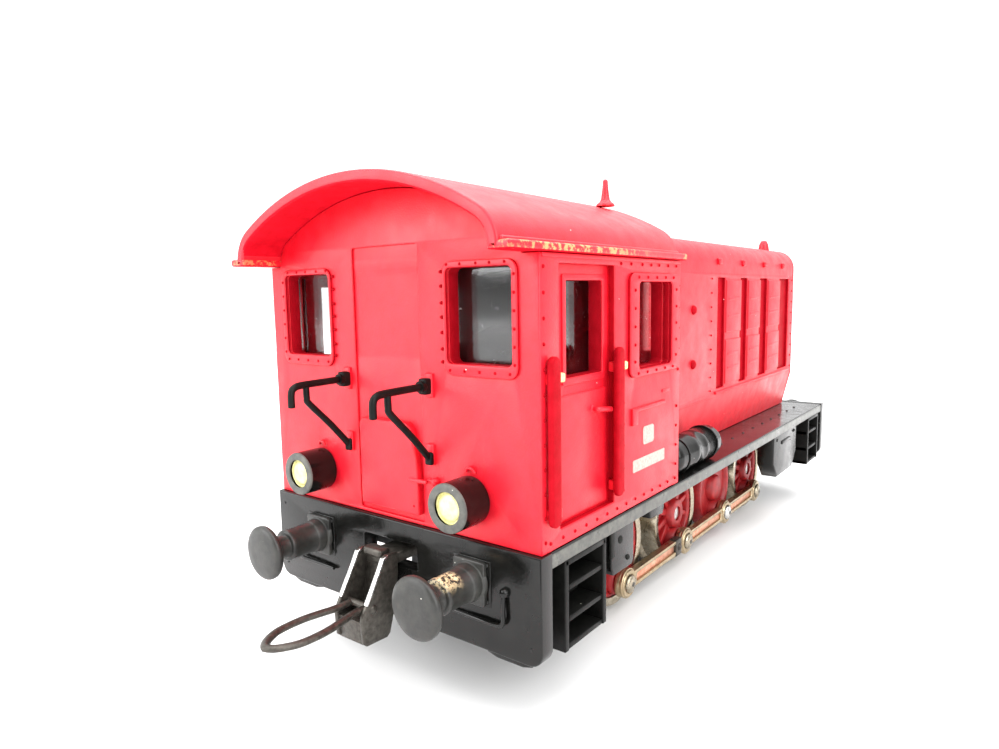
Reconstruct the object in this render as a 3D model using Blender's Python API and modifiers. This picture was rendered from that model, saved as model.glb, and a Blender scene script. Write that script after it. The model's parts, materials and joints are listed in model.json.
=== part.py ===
"""H0 (1:87) model of a three-axle side-rod diesel shunting locomotive.

Axes: X runs along the locomotive with the bonnet at +X and the cab at -X, Y is across and Z is up.
The origin lies under the middle of the locomotive, level with the lowest point of the wheel flanges.
Sizes in this script are millimetres; MM turns them into metres where an object is made.
"""
import math

import bmesh
import bpy

MM = 0.001
MERGE = 1e-6
GAP = 0.06                      # room between two pieces that rest on each other

# Whole locomotive
BEAM_FACE_X = 45.7              # outer face of each buffer beam
BUFFER_FACE_X = 52.9            # outer face of each buffer head
FRAME_HALF_WIDTH = 17.2
DECK_TOP = 16.1
DECK_THICKNESS = 1.2
BEAM_THICKNESS = 1.7
BEAM_TOP = 16.13                # a hair above the deck, under the cab
BEAM_BOTTOM = 6.8
GUARD_BOTTOM = 6.15             # low bulge of the beam on each side
GUARD_INNER_Y = 10.9
GUARD_OUTER_Y = 15.8
STEP_INNER_Y = 14.0
STEP_BACK = 0.5
STEP_POST = 0.5
TREAD_THICKNESS = 0.45

# Wheels, rods and axles
AXLE_Z = 7.2
TREAD_RADIUS = 6.3
FLANGE_RADIUS = 7.2
WHEEL_INNER_Y = 7.2             # back-to-back distance is twice this
WHEEL_OUTER_Y = 10.1
AXLE_RADIUS = 0.9
AXLE_REAR_X = -20.0
AXLE_MIDDLE_X = -3.3
JACKSHAFT_X = 11.6
AXLE_FRONT_X = 25.4
JACKSHAFT_DISC_RADIUS = 5.9
CRANK_THROW = 3.5
CRANK_FACE_Y = 10.55
ROD_Y = 10.7
ROD_THICKNESS = 1.0
CRANK_PIN_RADIUS = 0.7
ROD_BOSS_RADIUS = 1.75
ROD_HALF_HEIGHT = 0.95

# Gear train, module in millimetres and tooth counts
GEAR_MODULE = 0.4
DRIVE_TEETH = 18
IDLER_TEETH = 18
PINION_TEETH = 12
WORM_WHEEL_TEETH = 20
GEAR_PLANE_Y = 1.5
GEAR_WIDTH = 1.2
WORM_WHEEL_X = -6.0
WORM_WHEEL_Z = 19.9
MOTOR_Z = 25.5
SHAFT_RADIUS = 0.7
MOTOR_SHAFT_RADIUS = 0.75
WORM_CORE_RADIUS = 1.0

# Cab
CAB_REAR_X = -45.25
CAB_FRONT_X = -18.8
CAB_HALF_WIDTH = 17.0
CAB_WALL = 1.5                  # end walls
CAB_SIDE_WALL = 2.1
EAVES_Z = 39.98
ROOF_REAR_X = -49.6
ROOF_FRONT_X = -18.3
ROOF_HALF_WIDTH = 16.45
ROOF_APEX_Z = 47.35
ROOF_RADIUS = 29.0
ROOF_SHOULDER_RADIUS = 3.6
ROOF_THICKNESS = 1.0
GUTTER_HALF_WIDTH = 17.5
GUTTER_HEIGHT = 0.72
DOOR_RECESS = 0.8
PANE = 0.6                      # thickness of the glazing

# Bonnet
HOOD_REAR_X = -18.7
HOOD_FRONT_X = 42.0
HOOD_HALF_WIDTH = 12.3
HOOD_FOOT_HALF_WIDTH = 10.9
HOOD_SKIRT_TOP = 22.0
HOOD_SHOULDER_Z = 40.4
HOOD_SHOULDER_RADIUS = 3.2
HOOD_APEX_Z = 44.5
HOOD_WALL = 1.2

# Lamps, buffers and couplers
LAMP_Z = 19.6
REAR_LAMP_Y = 9.8
FRONT_LAMP_Y = 8.2
LAMP_RADIUS = 2.1
LAMP_BORE = 1.55
LAMP_LENGTH = 3.2
BUFFER_Y = 10.05
BUFFER_Z = 12.75
COUPLER_PIVOT_X = 40.0
COUPLER_PLATE_BOTTOM = 12.3
COUPLER_PLATE_TOP = 13.3
COUPLER_BOTTOM = 6.1
BAIL_AXIS_OUT = 9.6             # from the coupler pivot to the bail axis
BAIL_AXIS_Z = 9.3

ROUND = 20                      # sides of small round pieces
ROUND_SMALL = 12
ROUND_WHEEL = 28

RIGHT = -1
LEFT = 1
REAR = -1
FRONT = 1
SIDE_NAMES = {RIGHT: "right", LEFT: "left"}
END_NAMES = {REAR: "rear", FRONT: "front"}


# ---------------------------------------------------------------- scene and materials

def clear_scene():
    for old in list(bpy.data.objects):
        bpy.data.objects.remove(old, do_unlink=True)


def new_collection(name):
    group = bpy.data.collections.new(name)
    bpy.context.scene.collection.children.link(group)
    return group


def new_material(name, colour, roughness, metallic=0.0):
    material = bpy.data.materials.new(name)
    material.use_nodes = True
    shader = material.node_tree.nodes["Principled BSDF"]
    shader.inputs["Base Color"].default_value = (*colour, 1.0)
    shader.inputs["Roughness"].default_value = roughness
    shader.inputs["Metallic"].default_value = metallic
    material.diffuse_color = (*colour, 1.0)
    return material


clear_scene()
PARTS = new_collection("diesel_locomotive")
CUTTERS = new_collection("cutters")
RED = new_material("red_plastic", (0.62, 0.012, 0.022), 0.42)
WHEEL_RED = new_material("wheel_red_plastic", (0.50, 0.012, 0.015), 0.45)
BLACK = new_material("black_plastic", (0.018, 0.018, 0.016), 0.38)
DARK_METAL = new_material("blackened_steel", (0.035, 0.032, 0.030), 0.40, 0.8)
CAST_METAL = new_material("zinc_casting", (0.28, 0.28, 0.29), 0.55, 0.9)
STEEL = new_material("bright_steel", (0.60, 0.59, 0.56), 0.30, 1.0)
NICKEL = new_material("nickel_silver_rod", (0.62, 0.52, 0.36), 0.34, 1.0)
BRASS = new_material("brass", (0.70, 0.48, 0.18), 0.32, 1.0)
CLEAR = new_material("clear_plastic", (0.10, 0.11, 0.11), 0.08)
LENS = new_material("lamp_lens", (0.92, 0.90, 0.62), 0.20)
BOARD = new_material("circuit_board", (0.05, 0.20, 0.08), 0.50)
WHITE_PLASTIC = new_material("white_plastic", (0.80, 0.79, 0.74), 0.45)


# ---------------------------------------------------------------- shape helpers

def finish(piece, material):
    piece.data.materials.clear()
    piece.data.materials.append(material)
    return piece


def add_mesh_object(name, shape, group, origin=(0, 0, 0), rotation=(0, 0, 0)):
    data = bpy.data.meshes.new(name)
    shape.to_mesh(data)
    shape.free()
    piece = bpy.data.objects.new(name, data)
    piece.location = [value * MM for value in origin]
    piece.rotation_euler = [math.radians(value) for value in rotation]
    group.objects.link(piece)
    return piece


def add_box(name, low, high, group=PARTS, origin=(0, 0, 0), rotation=(0, 0, 0)):
    """Box between two corners, which are measured from the object's origin."""
    shape = bmesh.new()
    bmesh.ops.create_cube(shape, size=1.0)
    for vertex in shape.verts:
        for axis in range(3):
            middle = (low[axis] + high[axis]) / 2
            vertex.co[axis] = (middle + vertex.co[axis] * (high[axis] - low[axis])) * MM
    return add_mesh_object(name, shape, group, origin, rotation)


def add_turned(name, profile, group=PARTS, origin=(0, 0, 0), rotation=(0, 0, 0), sides=ROUND):
    """Turned solid: profile holds (radius, height) down the outer side, turned round local Z."""
    shape = bmesh.new()
    points = [shape.verts.new((radius * MM, 0, height * MM)) for radius, height in profile]
    for first, second in zip(points, points[1:]):
        shape.edges.new((first, second))
    if profile[0][0] > 0:
        shape.edges.new((points[-1], points[0]))
    piece = add_mesh_object(name, shape, group, origin, rotation)
    screw = piece.modifiers.new("turn", "SCREW")
    screw.steps = sides
    screw.render_steps = sides
    screw.use_merge_vertices = True
    screw.merge_threshold = MERGE
    screw.use_smooth_shade = True
    return piece


def add_bar(name, radius, start, end, group=PARTS, origin=(0, 0, 0), rotation=(0, 0, 0), sides=ROUND):
    """Plain round bar along local Z from height start to height end."""
    return add_turned(name, [(0, end), (radius, end), (radius, start), (0, start)],
                      group, origin, rotation, sides)


def add_plate(name, outlines, low, high, group=PARTS, origin=(0, 0, 0), rotation=(0, 0, 0)):
    """Flat outline in local XY, solid from local Z low to high; inner outlines become holes."""
    curve = bpy.data.curves.new(name, "CURVE")
    curve.dimensions = "2D"
    curve.fill_mode = "BOTH"
    curve.extrude = (high - low) / 2 * MM
    for outline in outlines:
        spline = curve.splines.new("POLY")
        spline.points.add(len(outline) - 1)
        for point, (across, up) in zip(spline.points, outline):
            point.co = (across * MM, up * MM, 0, 1)
        spline.use_cyclic_u = True
    drawn = bpy.data.objects.new(name + "_outline", curve)
    group.objects.link(drawn)
    bpy.context.view_layer.update()
    data = mesh_of(drawn)
    for vertex in data.vertices:
        vertex.co.z += (high + low) / 2 * MM
    bpy.data.objects.remove(drawn, do_unlink=True)
    data.name = name
    piece = bpy.data.objects.new(name, data)
    piece.location = [value * MM for value in origin]
    piece.rotation_euler = [math.radians(value) for value in rotation]
    group.objects.link(piece)
    return piece


def mesh_of(drawn):
    """Welded mesh of an evaluated curve object."""
    evaluated = drawn.evaluated_get(bpy.context.evaluated_depsgraph_get())
    data = bpy.data.meshes.new_from_object(evaluated)
    shape = bmesh.new()
    shape.from_mesh(data)
    bmesh.ops.remove_doubles(shape, verts=shape.verts, dist=MERGE)
    shape.to_mesh(data)
    shape.free()
    return data


def add_wire(name, points, radius, closed, origin=(0, 0, 0), rotation=(0, 0, 0), group=PARTS, detail=2):
    """Round wire through a list of points; detail sets the number of its flat sides."""
    curve = bpy.data.curves.new(name, "CURVE")
    curve.dimensions = "3D"
    curve.bevel_depth = radius * MM
    curve.bevel_resolution = detail
    curve.use_fill_caps = not closed
    spline = curve.splines.new("POLY")
    spline.points.add(len(points) - 1)
    for point, place in zip(spline.points, points):
        point.co = (*(value * MM for value in place), 1)
    spline.use_cyclic_u = closed
    drawn = bpy.data.objects.new(name + "_path", curve)
    group.objects.link(drawn)
    bpy.context.view_layer.update()
    data = mesh_of(drawn)
    bpy.data.objects.remove(drawn, do_unlink=True)
    piece = bpy.data.objects.new(name, data)
    piece.location = [value * MM for value in origin]
    piece.rotation_euler = [math.radians(value) for value in rotation]
    group.objects.link(piece)
    return piece


def combine(piece, helper, operation):
    helper.hide_render = True
    helper.display_type = "WIRE"
    modifier = piece.modifiers.new(helper.name, "BOOLEAN")
    modifier.operation = operation
    modifier.solver = "EXACT"
    modifier.object = helper
    return piece


def cut(piece, helper):
    return combine(piece, helper, "DIFFERENCE")


def join(piece, helper):
    return combine(piece, helper, "UNION")


def arc(centre, radius, start, end, steps):
    """Points along an arc; angles in degrees, both ends included."""
    points = []
    for index in range(steps + 1):
        angle = math.radians(start + (end - start) * index / steps)
        points.append((centre[0] + radius * math.cos(angle), centre[1] + radius * math.sin(angle)))
    return points


def circle(centre, radius, sides=ROUND):
    return arc(centre, radius, 0, 360 - 360 / sides, sides - 1)


# Local X, Y, Z of a piece laid on its side
TURN_TO_Y = {LEFT: (-90, 0, 0), RIGHT: (90, 0, 0)}          # local Z points outwards
TURN_TO_X = {FRONT: (0, 90, 0), REAR: (0, -90, 0)}          # local Z points to that end
OUTLINE_XZ = (90, 0, 0)         # outline X, Y lie along world X, Z and local Z along -Y
OUTLINE_YZ = (90, 0, 90)        # outline X, Y lie along world Y, Z and local Z along +X


# ---------------------------------------------------------------- frame

def make_frame():
    deck_half = FRAME_HALF_WIDTH - 0.1
    frame = add_box("frame_deck", (-BEAM_FACE_X + 0.5, -deck_half, DECK_TOP - DECK_THICKNESS),
                    (BEAM_FACE_X - 0.5, deck_half, DECK_TOP))
    for end in (REAR, FRONT):
        join(frame, beam_blank(end))
        for side in (RIGHT, LEFT):
            join(frame, guard_blank(end, side))
        join(frame, add_bar(f"coupler_post_{END_NAMES[end]}", 1.2, 12.0, DECK_TOP - 0.5, CUTTERS,
                            (end * COUPLER_PIVOT_X, 0, 0)))
    for side in (RIGHT, LEFT):
        for label, x_low, x_high, z_low in (("hanger", -33.9, -29.1, 10.3), ("lug", -26.0, -22.2, 13.6)):
            inner, outer = sorted((side * 15.8, side * 16.9))
            join(frame, add_box(f"{label}_{SIDE_NAMES[side]}", (x_low, inner, z_low),
                                (x_high, outer, DECK_TOP - 0.4), CUTTERS))
        inner, outer = sorted((side * 14.3, side * 16.8))
        join(frame, add_box(f"sandbox_{SIDE_NAMES[side]}", (17.0, inner, 8.0),
                            (29.5, outer, DECK_TOP - 0.4), CUTTERS))
    cut(frame, add_box("chassis_opening", (-37.3, -6.3, 10), (34.3, 6.3, 20), CUTTERS))
    for end in (REAR, FRONT):
        for side in (RIGHT, LEFT):
            cut(frame, add_bar(f"buffer_bore_{END_NAMES[end]}_{SIDE_NAMES[side]}", 1.05, -4, 4, CUTTERS,
                               (end * BEAM_FACE_X, side * BUFFER_Y, BUFFER_Z), TURN_TO_X[end]))
    for end in (REAR, FRONT):
        face_low, face_high = sorted((end * (BEAM_FACE_X + 1), end * (BEAM_FACE_X - 3)))
        cut(frame, add_box(f"coupler_slot_{END_NAMES[end]}", (face_low, -3.5, 11.85),
                           (face_high, 3.5, 14.2), CUTTERS))
        cut(frame, add_bar(f"pivot_bore_{END_NAMES[end]}", 0.65, 11.0, 14.4, CUTTERS,
                           (end * COUPLER_PIVOT_X, 0, 0), sides=ROUND_SMALL))
    finish(frame, BLACK)


def beam_blank(end):
    """Buffer beam with its two lower corners rounded off."""
    corner = 1.3
    outline = [(-FRAME_HALF_WIDTH, BEAM_TOP), (FRAME_HALF_WIDTH, BEAM_TOP)]
    outline += arc((FRAME_HALF_WIDTH - corner, BEAM_BOTTOM + corner), corner, 0, -90, 4)
    outline += arc((corner - FRAME_HALF_WIDTH, BEAM_BOTTOM + corner), corner, -90, -180, 4)
    low, high = sorted((end * BEAM_FACE_X, end * (BEAM_FACE_X - BEAM_THICKNESS)))
    return add_plate(f"beam_{END_NAMES[end]}", [outline], low, high, CUTTERS, rotation=OUTLINE_YZ)


def guard_blank(end, side):
    """Low guard under one half of a buffer beam, just behind the beam's face."""
    outline = [(GUARD_INNER_Y, BEAM_BOTTOM + 1.0), (GUARD_OUTER_Y, BEAM_BOTTOM + 1.0),
               (GUARD_OUTER_Y, GUARD_BOTTOM + 0.2), (GUARD_OUTER_Y - 0.9, GUARD_BOTTOM),
               (GUARD_INNER_Y + 1.3, GUARD_BOTTOM), (GUARD_INNER_Y, GUARD_BOTTOM + 0.4)]
    if side == RIGHT:
        outline = [(-across, up) for across, up in outline]
    low, high = sorted((end * (BEAM_FACE_X - 0.05), end * (BEAM_FACE_X - BEAM_THICKNESS + 0.05)))
    return add_plate(f"guard_{END_NAMES[end]}_{SIDE_NAMES[side]}", [outline], low, high, CUTTERS,
                     rotation=OUTLINE_YZ)


def make_steps(end, side):
    """Two uprights with three treads between them and a closed back, hung under the deck."""
    x_low, x_high = sorted((end * 42.2, end * 35.2))
    y_low, y_high = sorted((side * STEP_INNER_Y, side * FRAME_HALF_WIDTH))
    open_low, open_high = sorted((side * (STEP_INNER_Y + STEP_BACK), side * (FRAME_HALF_WIDTH + 1)))
    top = DECK_TOP - DECK_THICKNESS - GAP
    name = f"step_{END_NAMES[end]}_{SIDE_NAMES[side]}"
    step = add_box(name, (x_low, y_low, 6.8), (x_high, y_high, top))
    bottom = 7.3
    for index, opening_top in enumerate((9.2, 12.0, top - 0.5)):
        cut(step, add_box(f"{name}_space_{index}", (x_low + STEP_POST, open_low, bottom),
                          (x_high - STEP_POST, open_high, opening_top), CUTTERS))
        bottom = opening_top + TREAD_THICKNESS
    finish(step, BLACK)


def make_buffer(end, side):
    """Fixed buffer: square base, sleeve, neck, head with a flat middle, and a spigot into the beam."""
    name = f"buffer_{END_NAMES[end]}_{SIDE_NAMES[side]}"
    reach = BUFFER_FACE_X - BEAM_FACE_X
    profile = [(0, reach), (1.3, reach), (2.6, reach - 0.35), (2.6, reach - 0.85), (1.15, reach - 1.25),
               (1.15, 4.4), (1.5, 4.2), (1.62, 0.2), (1.0, 0.2), (1.0, -1.6), (0, -1.6)]
    buffer = add_turned(name, profile, origin=(end * BEAM_FACE_X, side * BUFFER_Y, BUFFER_Z),
                        rotation=TURN_TO_X[end])
    base = add_box(name + "_base", (-1.7, -1.95, GAP), (1.7, 1.95, 0.5), CUTTERS,
                   (end * BEAM_FACE_X, side * BUFFER_Y, BUFFER_Z), TURN_TO_X[end])
    join(buffer, base)
    finish(buffer, BLACK)


# ---------------------------------------------------------------- couplers

def make_coupler(end):
    """Folded hook on a pivoting shank; local X points out of the locomotive."""
    name = f"coupler_{END_NAMES[end]}"
    origin = (end * COUPLER_PIVOT_X, 0, 0)
    turn = (0, 0, 0 if end == FRONT else 180)
    shank = [(7.2, 1.4), (1.4, 1.4)] + arc((0, 0), 1.95, 46, 314, 14) + [(1.4, -1.4), (7.2, -1.4)]
    hook = add_plate(name, [shank, circle((0, 0), 1.25, ROUND_SMALL)], COUPLER_PLATE_BOTTOM,
                     COUPLER_PLATE_TOP, origin=origin, rotation=turn)
    cheek = [(6.5, 13.6), (8.2, 13.7), (10.4, 9.9), (11.1, 8.7), (10.85, COUPLER_BOTTOM + 0.2),
             (8.0, COUPLER_BOTTOM), (7.1, 8.4), (6.5, 11.6)]
    channel = [(7.3, 15.0), (14.0, 15.0), (14.0, 8.4), (8.2, 8.4), (7.3, 11.5)]
    # A plate turned on its side and then round Z by the coupler's own turn
    upright = (90, 0, turn[2])
    join(hook, add_plate(name + "_cheeks", [cheek], -1.9, 1.9, CUTTERS, origin, upright))
    cut(hook, add_plate(name + "_channel", [channel], -1.5, 1.5, CUTTERS, origin, upright))
    finish(hook, DARK_METAL)


def make_bail(end):
    """Wire loop that drops over the other coupler's hook; its origin is on its own hinge axis."""
    half = [(19.2, 0.0), (18.8, 0.7), (18.0, 1.25), (17.0, 1.65), (14.6, 1.7), (13.0, 1.45), (11.8, 1.12),
            (11.0, 1.04), (9.6, 1.0)]
    loop = half + [(out, -across) for out, across in reversed(half[1:])]
    points = [(out - BAIL_AXIS_OUT, across, 0) for out, across in loop]
    bail = add_wire(f"coupler_bail_{END_NAMES[end]}", points, 0.36, True,
                    (end * (COUPLER_PIVOT_X + BAIL_AXIS_OUT), 0, BAIL_AXIS_Z),
                    (0, 0, 0 if end == FRONT else 180))
    bail.data.shade_smooth()
    finish(bail, DARK_METAL)


def make_pivot_screw(end):
    profile = [(0, 14.0), (0.6, 14.0), (0.6, 11.9), (1.9, 11.9), (1.9, 11.5), (1.6, 11.25), (0, 11.25)]
    screw = add_turned(f"coupler_screw_{END_NAMES[end]}", profile,
                       origin=(end * COUPLER_PIVOT_X, 0, 0), sides=ROUND_SMALL)
    finish(screw, STEEL)


# ---------------------------------------------------------------- chassis and drive

def circle_crossing(first, first_radius, second, second_radius):
    """Crossing point, on the +X side, of two circles in the XZ plane."""
    step_x = second[0] - first[0]
    step_z = second[1] - first[1]
    distance = math.hypot(step_x, step_z)
    along = (first_radius ** 2 - second_radius ** 2 + distance ** 2) / (2 * distance)
    aside = math.sqrt(first_radius ** 2 - along ** 2)
    return (first[0] + (along * step_x + aside * step_z) / distance,
            first[1] + (along * step_z - aside * step_x) / distance)


def pitch_radius(teeth):
    return GEAR_MODULE * teeth / 2


DRIVE_CENTRE = (AXLE_MIDDLE_X, AXLE_Z)
PINION_CENTRE = (WORM_WHEEL_X, WORM_WHEEL_Z)
IDLER_CENTRE = circle_crossing(DRIVE_CENTRE, pitch_radius(DRIVE_TEETH) + pitch_radius(IDLER_TEETH),
                               PINION_CENTRE, pitch_radius(PINION_TEETH) + pitch_radius(IDLER_TEETH))


def direction(start, end):
    return math.atan2(end[1] - start[1], end[0] - start[0])


def meshed_phase(phase, teeth, towards, other_teeth):
    """Angle of a tooth of the second gear, so that its gap meets the first gear's tooth."""
    return towards + math.pi + math.pi / other_teeth - (phase - towards) * teeth / other_teeth


def gear_outline(teeth, phase):
    """Trapezoid teeth, thinner than half the pitch so that two meshing gears stay clear."""
    root = pitch_radius(teeth) - 1.2 * GEAR_MODULE
    tip = pitch_radius(teeth) + 0.85 * GEAR_MODULE
    pitch_angle = 2 * math.pi / teeth
    points = []
    for index in range(teeth):
        middle = phase + index * pitch_angle
        for radius, share in ((root, -0.27), (tip, -0.10), (tip, 0.10), (root, 0.27)):
            angle = middle + share * pitch_angle
            points.append((radius * math.cos(angle), radius * math.sin(angle)))
    return points


def make_gear(name, teeth, phase, centre, bore, material):
    """Gear in the XZ plane, pressed on a shaft along Y."""
    gear = add_plate(name, [gear_outline(teeth, phase), circle((0, 0), bore, ROUND_SMALL)],
                     -GEAR_PLANE_Y - GEAR_WIDTH / 2, -GEAR_PLANE_Y + GEAR_WIDTH / 2,
                     origin=(centre[0], 0, centre[1]), rotation=OUTLINE_XZ)
    return finish(gear, material)


def make_gear_train():
    to_idler = direction(DRIVE_CENTRE, IDLER_CENTRE)
    idler_phase = meshed_phase(to_idler, DRIVE_TEETH, to_idler, IDLER_TEETH)
    to_pinion = direction(IDLER_CENTRE, PINION_CENTRE)
    pinion_phase = meshed_phase(idler_phase, IDLER_TEETH, to_pinion, PINION_TEETH)
    make_gear("drive_gear", DRIVE_TEETH, to_idler, DRIVE_CENTRE, AXLE_RADIUS + GAP, BRASS)
    idler = make_gear("idler_gear", IDLER_TEETH, idler_phase, IDLER_CENTRE, SHAFT_RADIUS - 0.1,
                      WHITE_PLASTIC)
    join(idler, cross_shaft("idler_shaft", IDLER_CENTRE))
    half_tooth_down = math.pi / 2 + math.pi / WORM_WHEEL_TEETH
    wheel = add_plate("worm_wheel", [gear_outline(WORM_WHEEL_TEETH, half_tooth_down)], -0.7, 0.7,
                      origin=(WORM_WHEEL_X, 0, WORM_WHEEL_Z), rotation=OUTLINE_XZ)
    join(wheel, add_plate("pinion_teeth", [gear_outline(PINION_TEETH, pinion_phase)],
                          -GEAR_PLANE_Y - GEAR_WIDTH / 2, -0.5, CUTTERS,
                          (WORM_WHEEL_X, 0, WORM_WHEEL_Z), OUTLINE_XZ))
    join(wheel, cross_shaft("pinion_shaft", PINION_CENTRE))
    finish(wheel, WHITE_PLASTIC)


def cross_shaft(name, centre):
    return add_bar(name, SHAFT_RADIUS, -3.6, 3.6, CUTTERS, (centre[0], 0, centre[1]),
                   TURN_TO_Y[LEFT], ROUND_SMALL)


def make_chassis_block():
    """Die-cast block that carries the axles from below and the motor from above."""
    outline = [(-37.0, 3.15), (34.0, 3.15), (34.0, 24.0), (27.5, 24.0), (27.5, 17.4), (1.6, 17.4),
               (1.6, 22.0), (-37.0, 22.0)]
    block = add_plate("chassis_block", [outline], -6.0, 6.0, rotation=OUTLINE_XZ)
    for label, x in (("rear", AXLE_REAR_X), ("middle", AXLE_MIDDLE_X), ("jack", JACKSHAFT_X),
                     ("front", AXLE_FRONT_X)):
        bearing = AXLE_RADIUS + GAP
        slot = [(x - bearing, 1.0)] + [(x + bearing, 1.0)] + arc((x, AXLE_Z), bearing, 0, 180, 6)
        cut(block, add_plate(f"axle_slot_{label}", [slot], -8, 8, CUTTERS, rotation=OUTLINE_XZ))
    cut(block, add_box("gear_slot", (-11.2, -1.0, 1), (1.2, 2.3, 26), CUTTERS))
    for label, centre in (("idler", IDLER_CENTRE), ("pinion", PINION_CENTRE)):
        cut(block, add_bar(f"{label}_bearing", SHAFT_RADIUS + GAP, -3.8, 3.8, CUTTERS,
                           (centre[0], 0, centre[1]), TURN_TO_Y[LEFT], ROUND_SMALL))
    for label, x in (("keeper", 31.0), ("body", -31.0)):
        cut(block, add_bar(f"{label}_thread", 0.76, 1.0, 12.0, CUTTERS, (x, 0, 0), sides=ROUND_SMALL))
    finish(block, CAST_METAL)


def make_keeper_plate():
    keeper = add_box("keeper_plate", (-36.0, -5.8, 2.3), (33.0, 5.8, 3.08))
    for label, x in (("keeper", 31.0), ("body", -31.0)):
        cut(keeper, add_bar(f"{label}_hole", 0.9, 1.0, 4.0, CUTTERS, (x, 0, 0), sides=ROUND_SMALL))
    finish(keeper, BLACK)


def make_bottom_screw(name, x):
    profile = [(0, 9.5), (0.7, 9.5), (0.7, 2.24), (1.6, 2.24), (1.6, 1.9), (1.2, 1.6), (0, 1.6)]
    finish(add_turned(name, profile, origin=(x, 0, 0), sides=ROUND_SMALL), STEEL)


def wheel_profile(tread, flange, outer):
    """Half section of a wheel with a dished web, (radius, height outwards) round a bored hub."""
    bore = AXLE_RADIUS + GAP
    return [(bore, outer + 0.25), (1.9, outer + 0.25), (2.1, 9.3), (tread - 1.0, 9.3), (tread - 0.8, outer),
            (tread, outer), (tread, 8.15), (flange, 7.75), (flange, WHEEL_INNER_Y), (bore, WHEEL_INNER_Y)]


def crank_profile():
    """Boss, pin and retaining head of one crank pin, height outwards."""
    rod_outer = ROD_Y + ROD_THICKNESS + 0.1
    return [(0, rod_outer + 0.5), (0.9, rod_outer + 0.5), (1.05, rod_outer + 0.35), (1.05, rod_outer),
            (CRANK_PIN_RADIUS, rod_outer), (CRANK_PIN_RADIUS, CRANK_FACE_Y), (1.6, CRANK_FACE_Y),
            (1.6, 8.6), (0, 8.6)]


def crank_offset(side):
    """World X, Z from the axle to the crank pin; the two sides are a quarter turn apart."""
    return (0.0, -CRANK_THROW) if side == RIGHT else (CRANK_THROW, 0.0)


def crank_helper(name, x, side):
    offset = crank_offset(side)
    return add_turned(name, crank_profile(), CUTTERS, (x + offset[0], 0, AXLE_Z + offset[1]),
                      TURN_TO_Y[side], ROUND_SMALL)


def make_wheelset(label, x):
    axle = add_bar(f"axle_{label}", AXLE_RADIUS, -10.1, 10.1, origin=(x, 0, AXLE_Z),
                   rotation=TURN_TO_Y[LEFT], sides=ROUND_SMALL)
    finish(axle, STEEL)
    for side in (RIGHT, LEFT):
        name = f"wheel_{label}_{SIDE_NAMES[side]}"
        wheel = add_turned(name, wheel_profile(TREAD_RADIUS, FLANGE_RADIUS, WHEEL_OUTER_Y),
                           origin=(x, 0, AXLE_Z), rotation=TURN_TO_Y[side], sides=ROUND_WHEEL)
        join(wheel, crank_helper(name + "_crank", x, side))
        finish(wheel, WHEEL_RED)


def make_jackshaft():
    """Cross shaft with a crank disc on each end; it carries no rail wheel."""
    shaft = add_bar("jackshaft", AXLE_RADIUS, -9.9, 9.9, origin=(JACKSHAFT_X, 0, AXLE_Z),
                    rotation=TURN_TO_Y[LEFT], sides=ROUND_SMALL)
    disc = [(0, 10.2), (1.9, 10.2), (2.1, 9.3), (JACKSHAFT_DISC_RADIUS - 0.9, 9.3),
            (JACKSHAFT_DISC_RADIUS - 0.7, 9.9), (JACKSHAFT_DISC_RADIUS, 9.9), (JACKSHAFT_DISC_RADIUS, 7.9),
            (0, 7.9)]
    for side in (RIGHT, LEFT):
        name = f"jackshaft_disc_{SIDE_NAMES[side]}"
        join(shaft, add_turned(name, disc, CUTTERS, (JACKSHAFT_X, 0, AXLE_Z), TURN_TO_Y[side], ROUND_WHEEL))
        join(shaft, crank_helper(name + "_crank", JACKSHAFT_X, side))
    finish(shaft, WHEEL_RED)


def rod_outline():
    """Outline of a side rod, measured from its middle crank pin, with a boss at every pin."""
    pins = [x - AXLE_MIDDLE_X for x in (AXLE_REAR_X, AXLE_MIDDLE_X, JACKSHAFT_X, AXLE_FRONT_X)]
    neck = math.degrees(math.asin(ROD_HALF_HEIGHT / ROD_BOSS_RADIUS))
    outline = arc((pins[0], 0), ROD_BOSS_RADIUS, 360 - neck, neck, 14)
    for pin in pins[1:-1]:
        outline += arc((pin, 0), ROD_BOSS_RADIUS, 180 - neck, neck, 6)
    outline += arc((pins[-1], 0), ROD_BOSS_RADIUS, 180 - neck, neck - 180, 14)
    for pin in reversed(pins[1:-1]):
        outline += arc((pin, 0), ROD_BOSS_RADIUS, -neck, neck - 180, 6)
    holes = [circle((pin, 0), CRANK_PIN_RADIUS + 0.1, ROUND_SMALL) for pin in pins]
    return [outline] + holes


def make_side_rod(side):
    offset = crank_offset(side)
    low, high = sorted((-side * ROD_Y, -side * (ROD_Y + ROD_THICKNESS)))
    rod = add_plate(f"side_rod_{SIDE_NAMES[side]}", rod_outline(), low, high,
                    origin=(AXLE_MIDDLE_X + offset[0], 0, AXLE_Z + offset[1]), rotation=OUTLINE_XZ)
    finish(rod, NICKEL)


def shaft_line_bar(name, radius, start, end, sides):
    """Cutter along the motor shaft's line, from world X start to end."""
    return add_bar(name, radius, start, end, CUTTERS, (0, 0, MOTOR_Z), TURN_TO_X[FRONT], sides)


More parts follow.
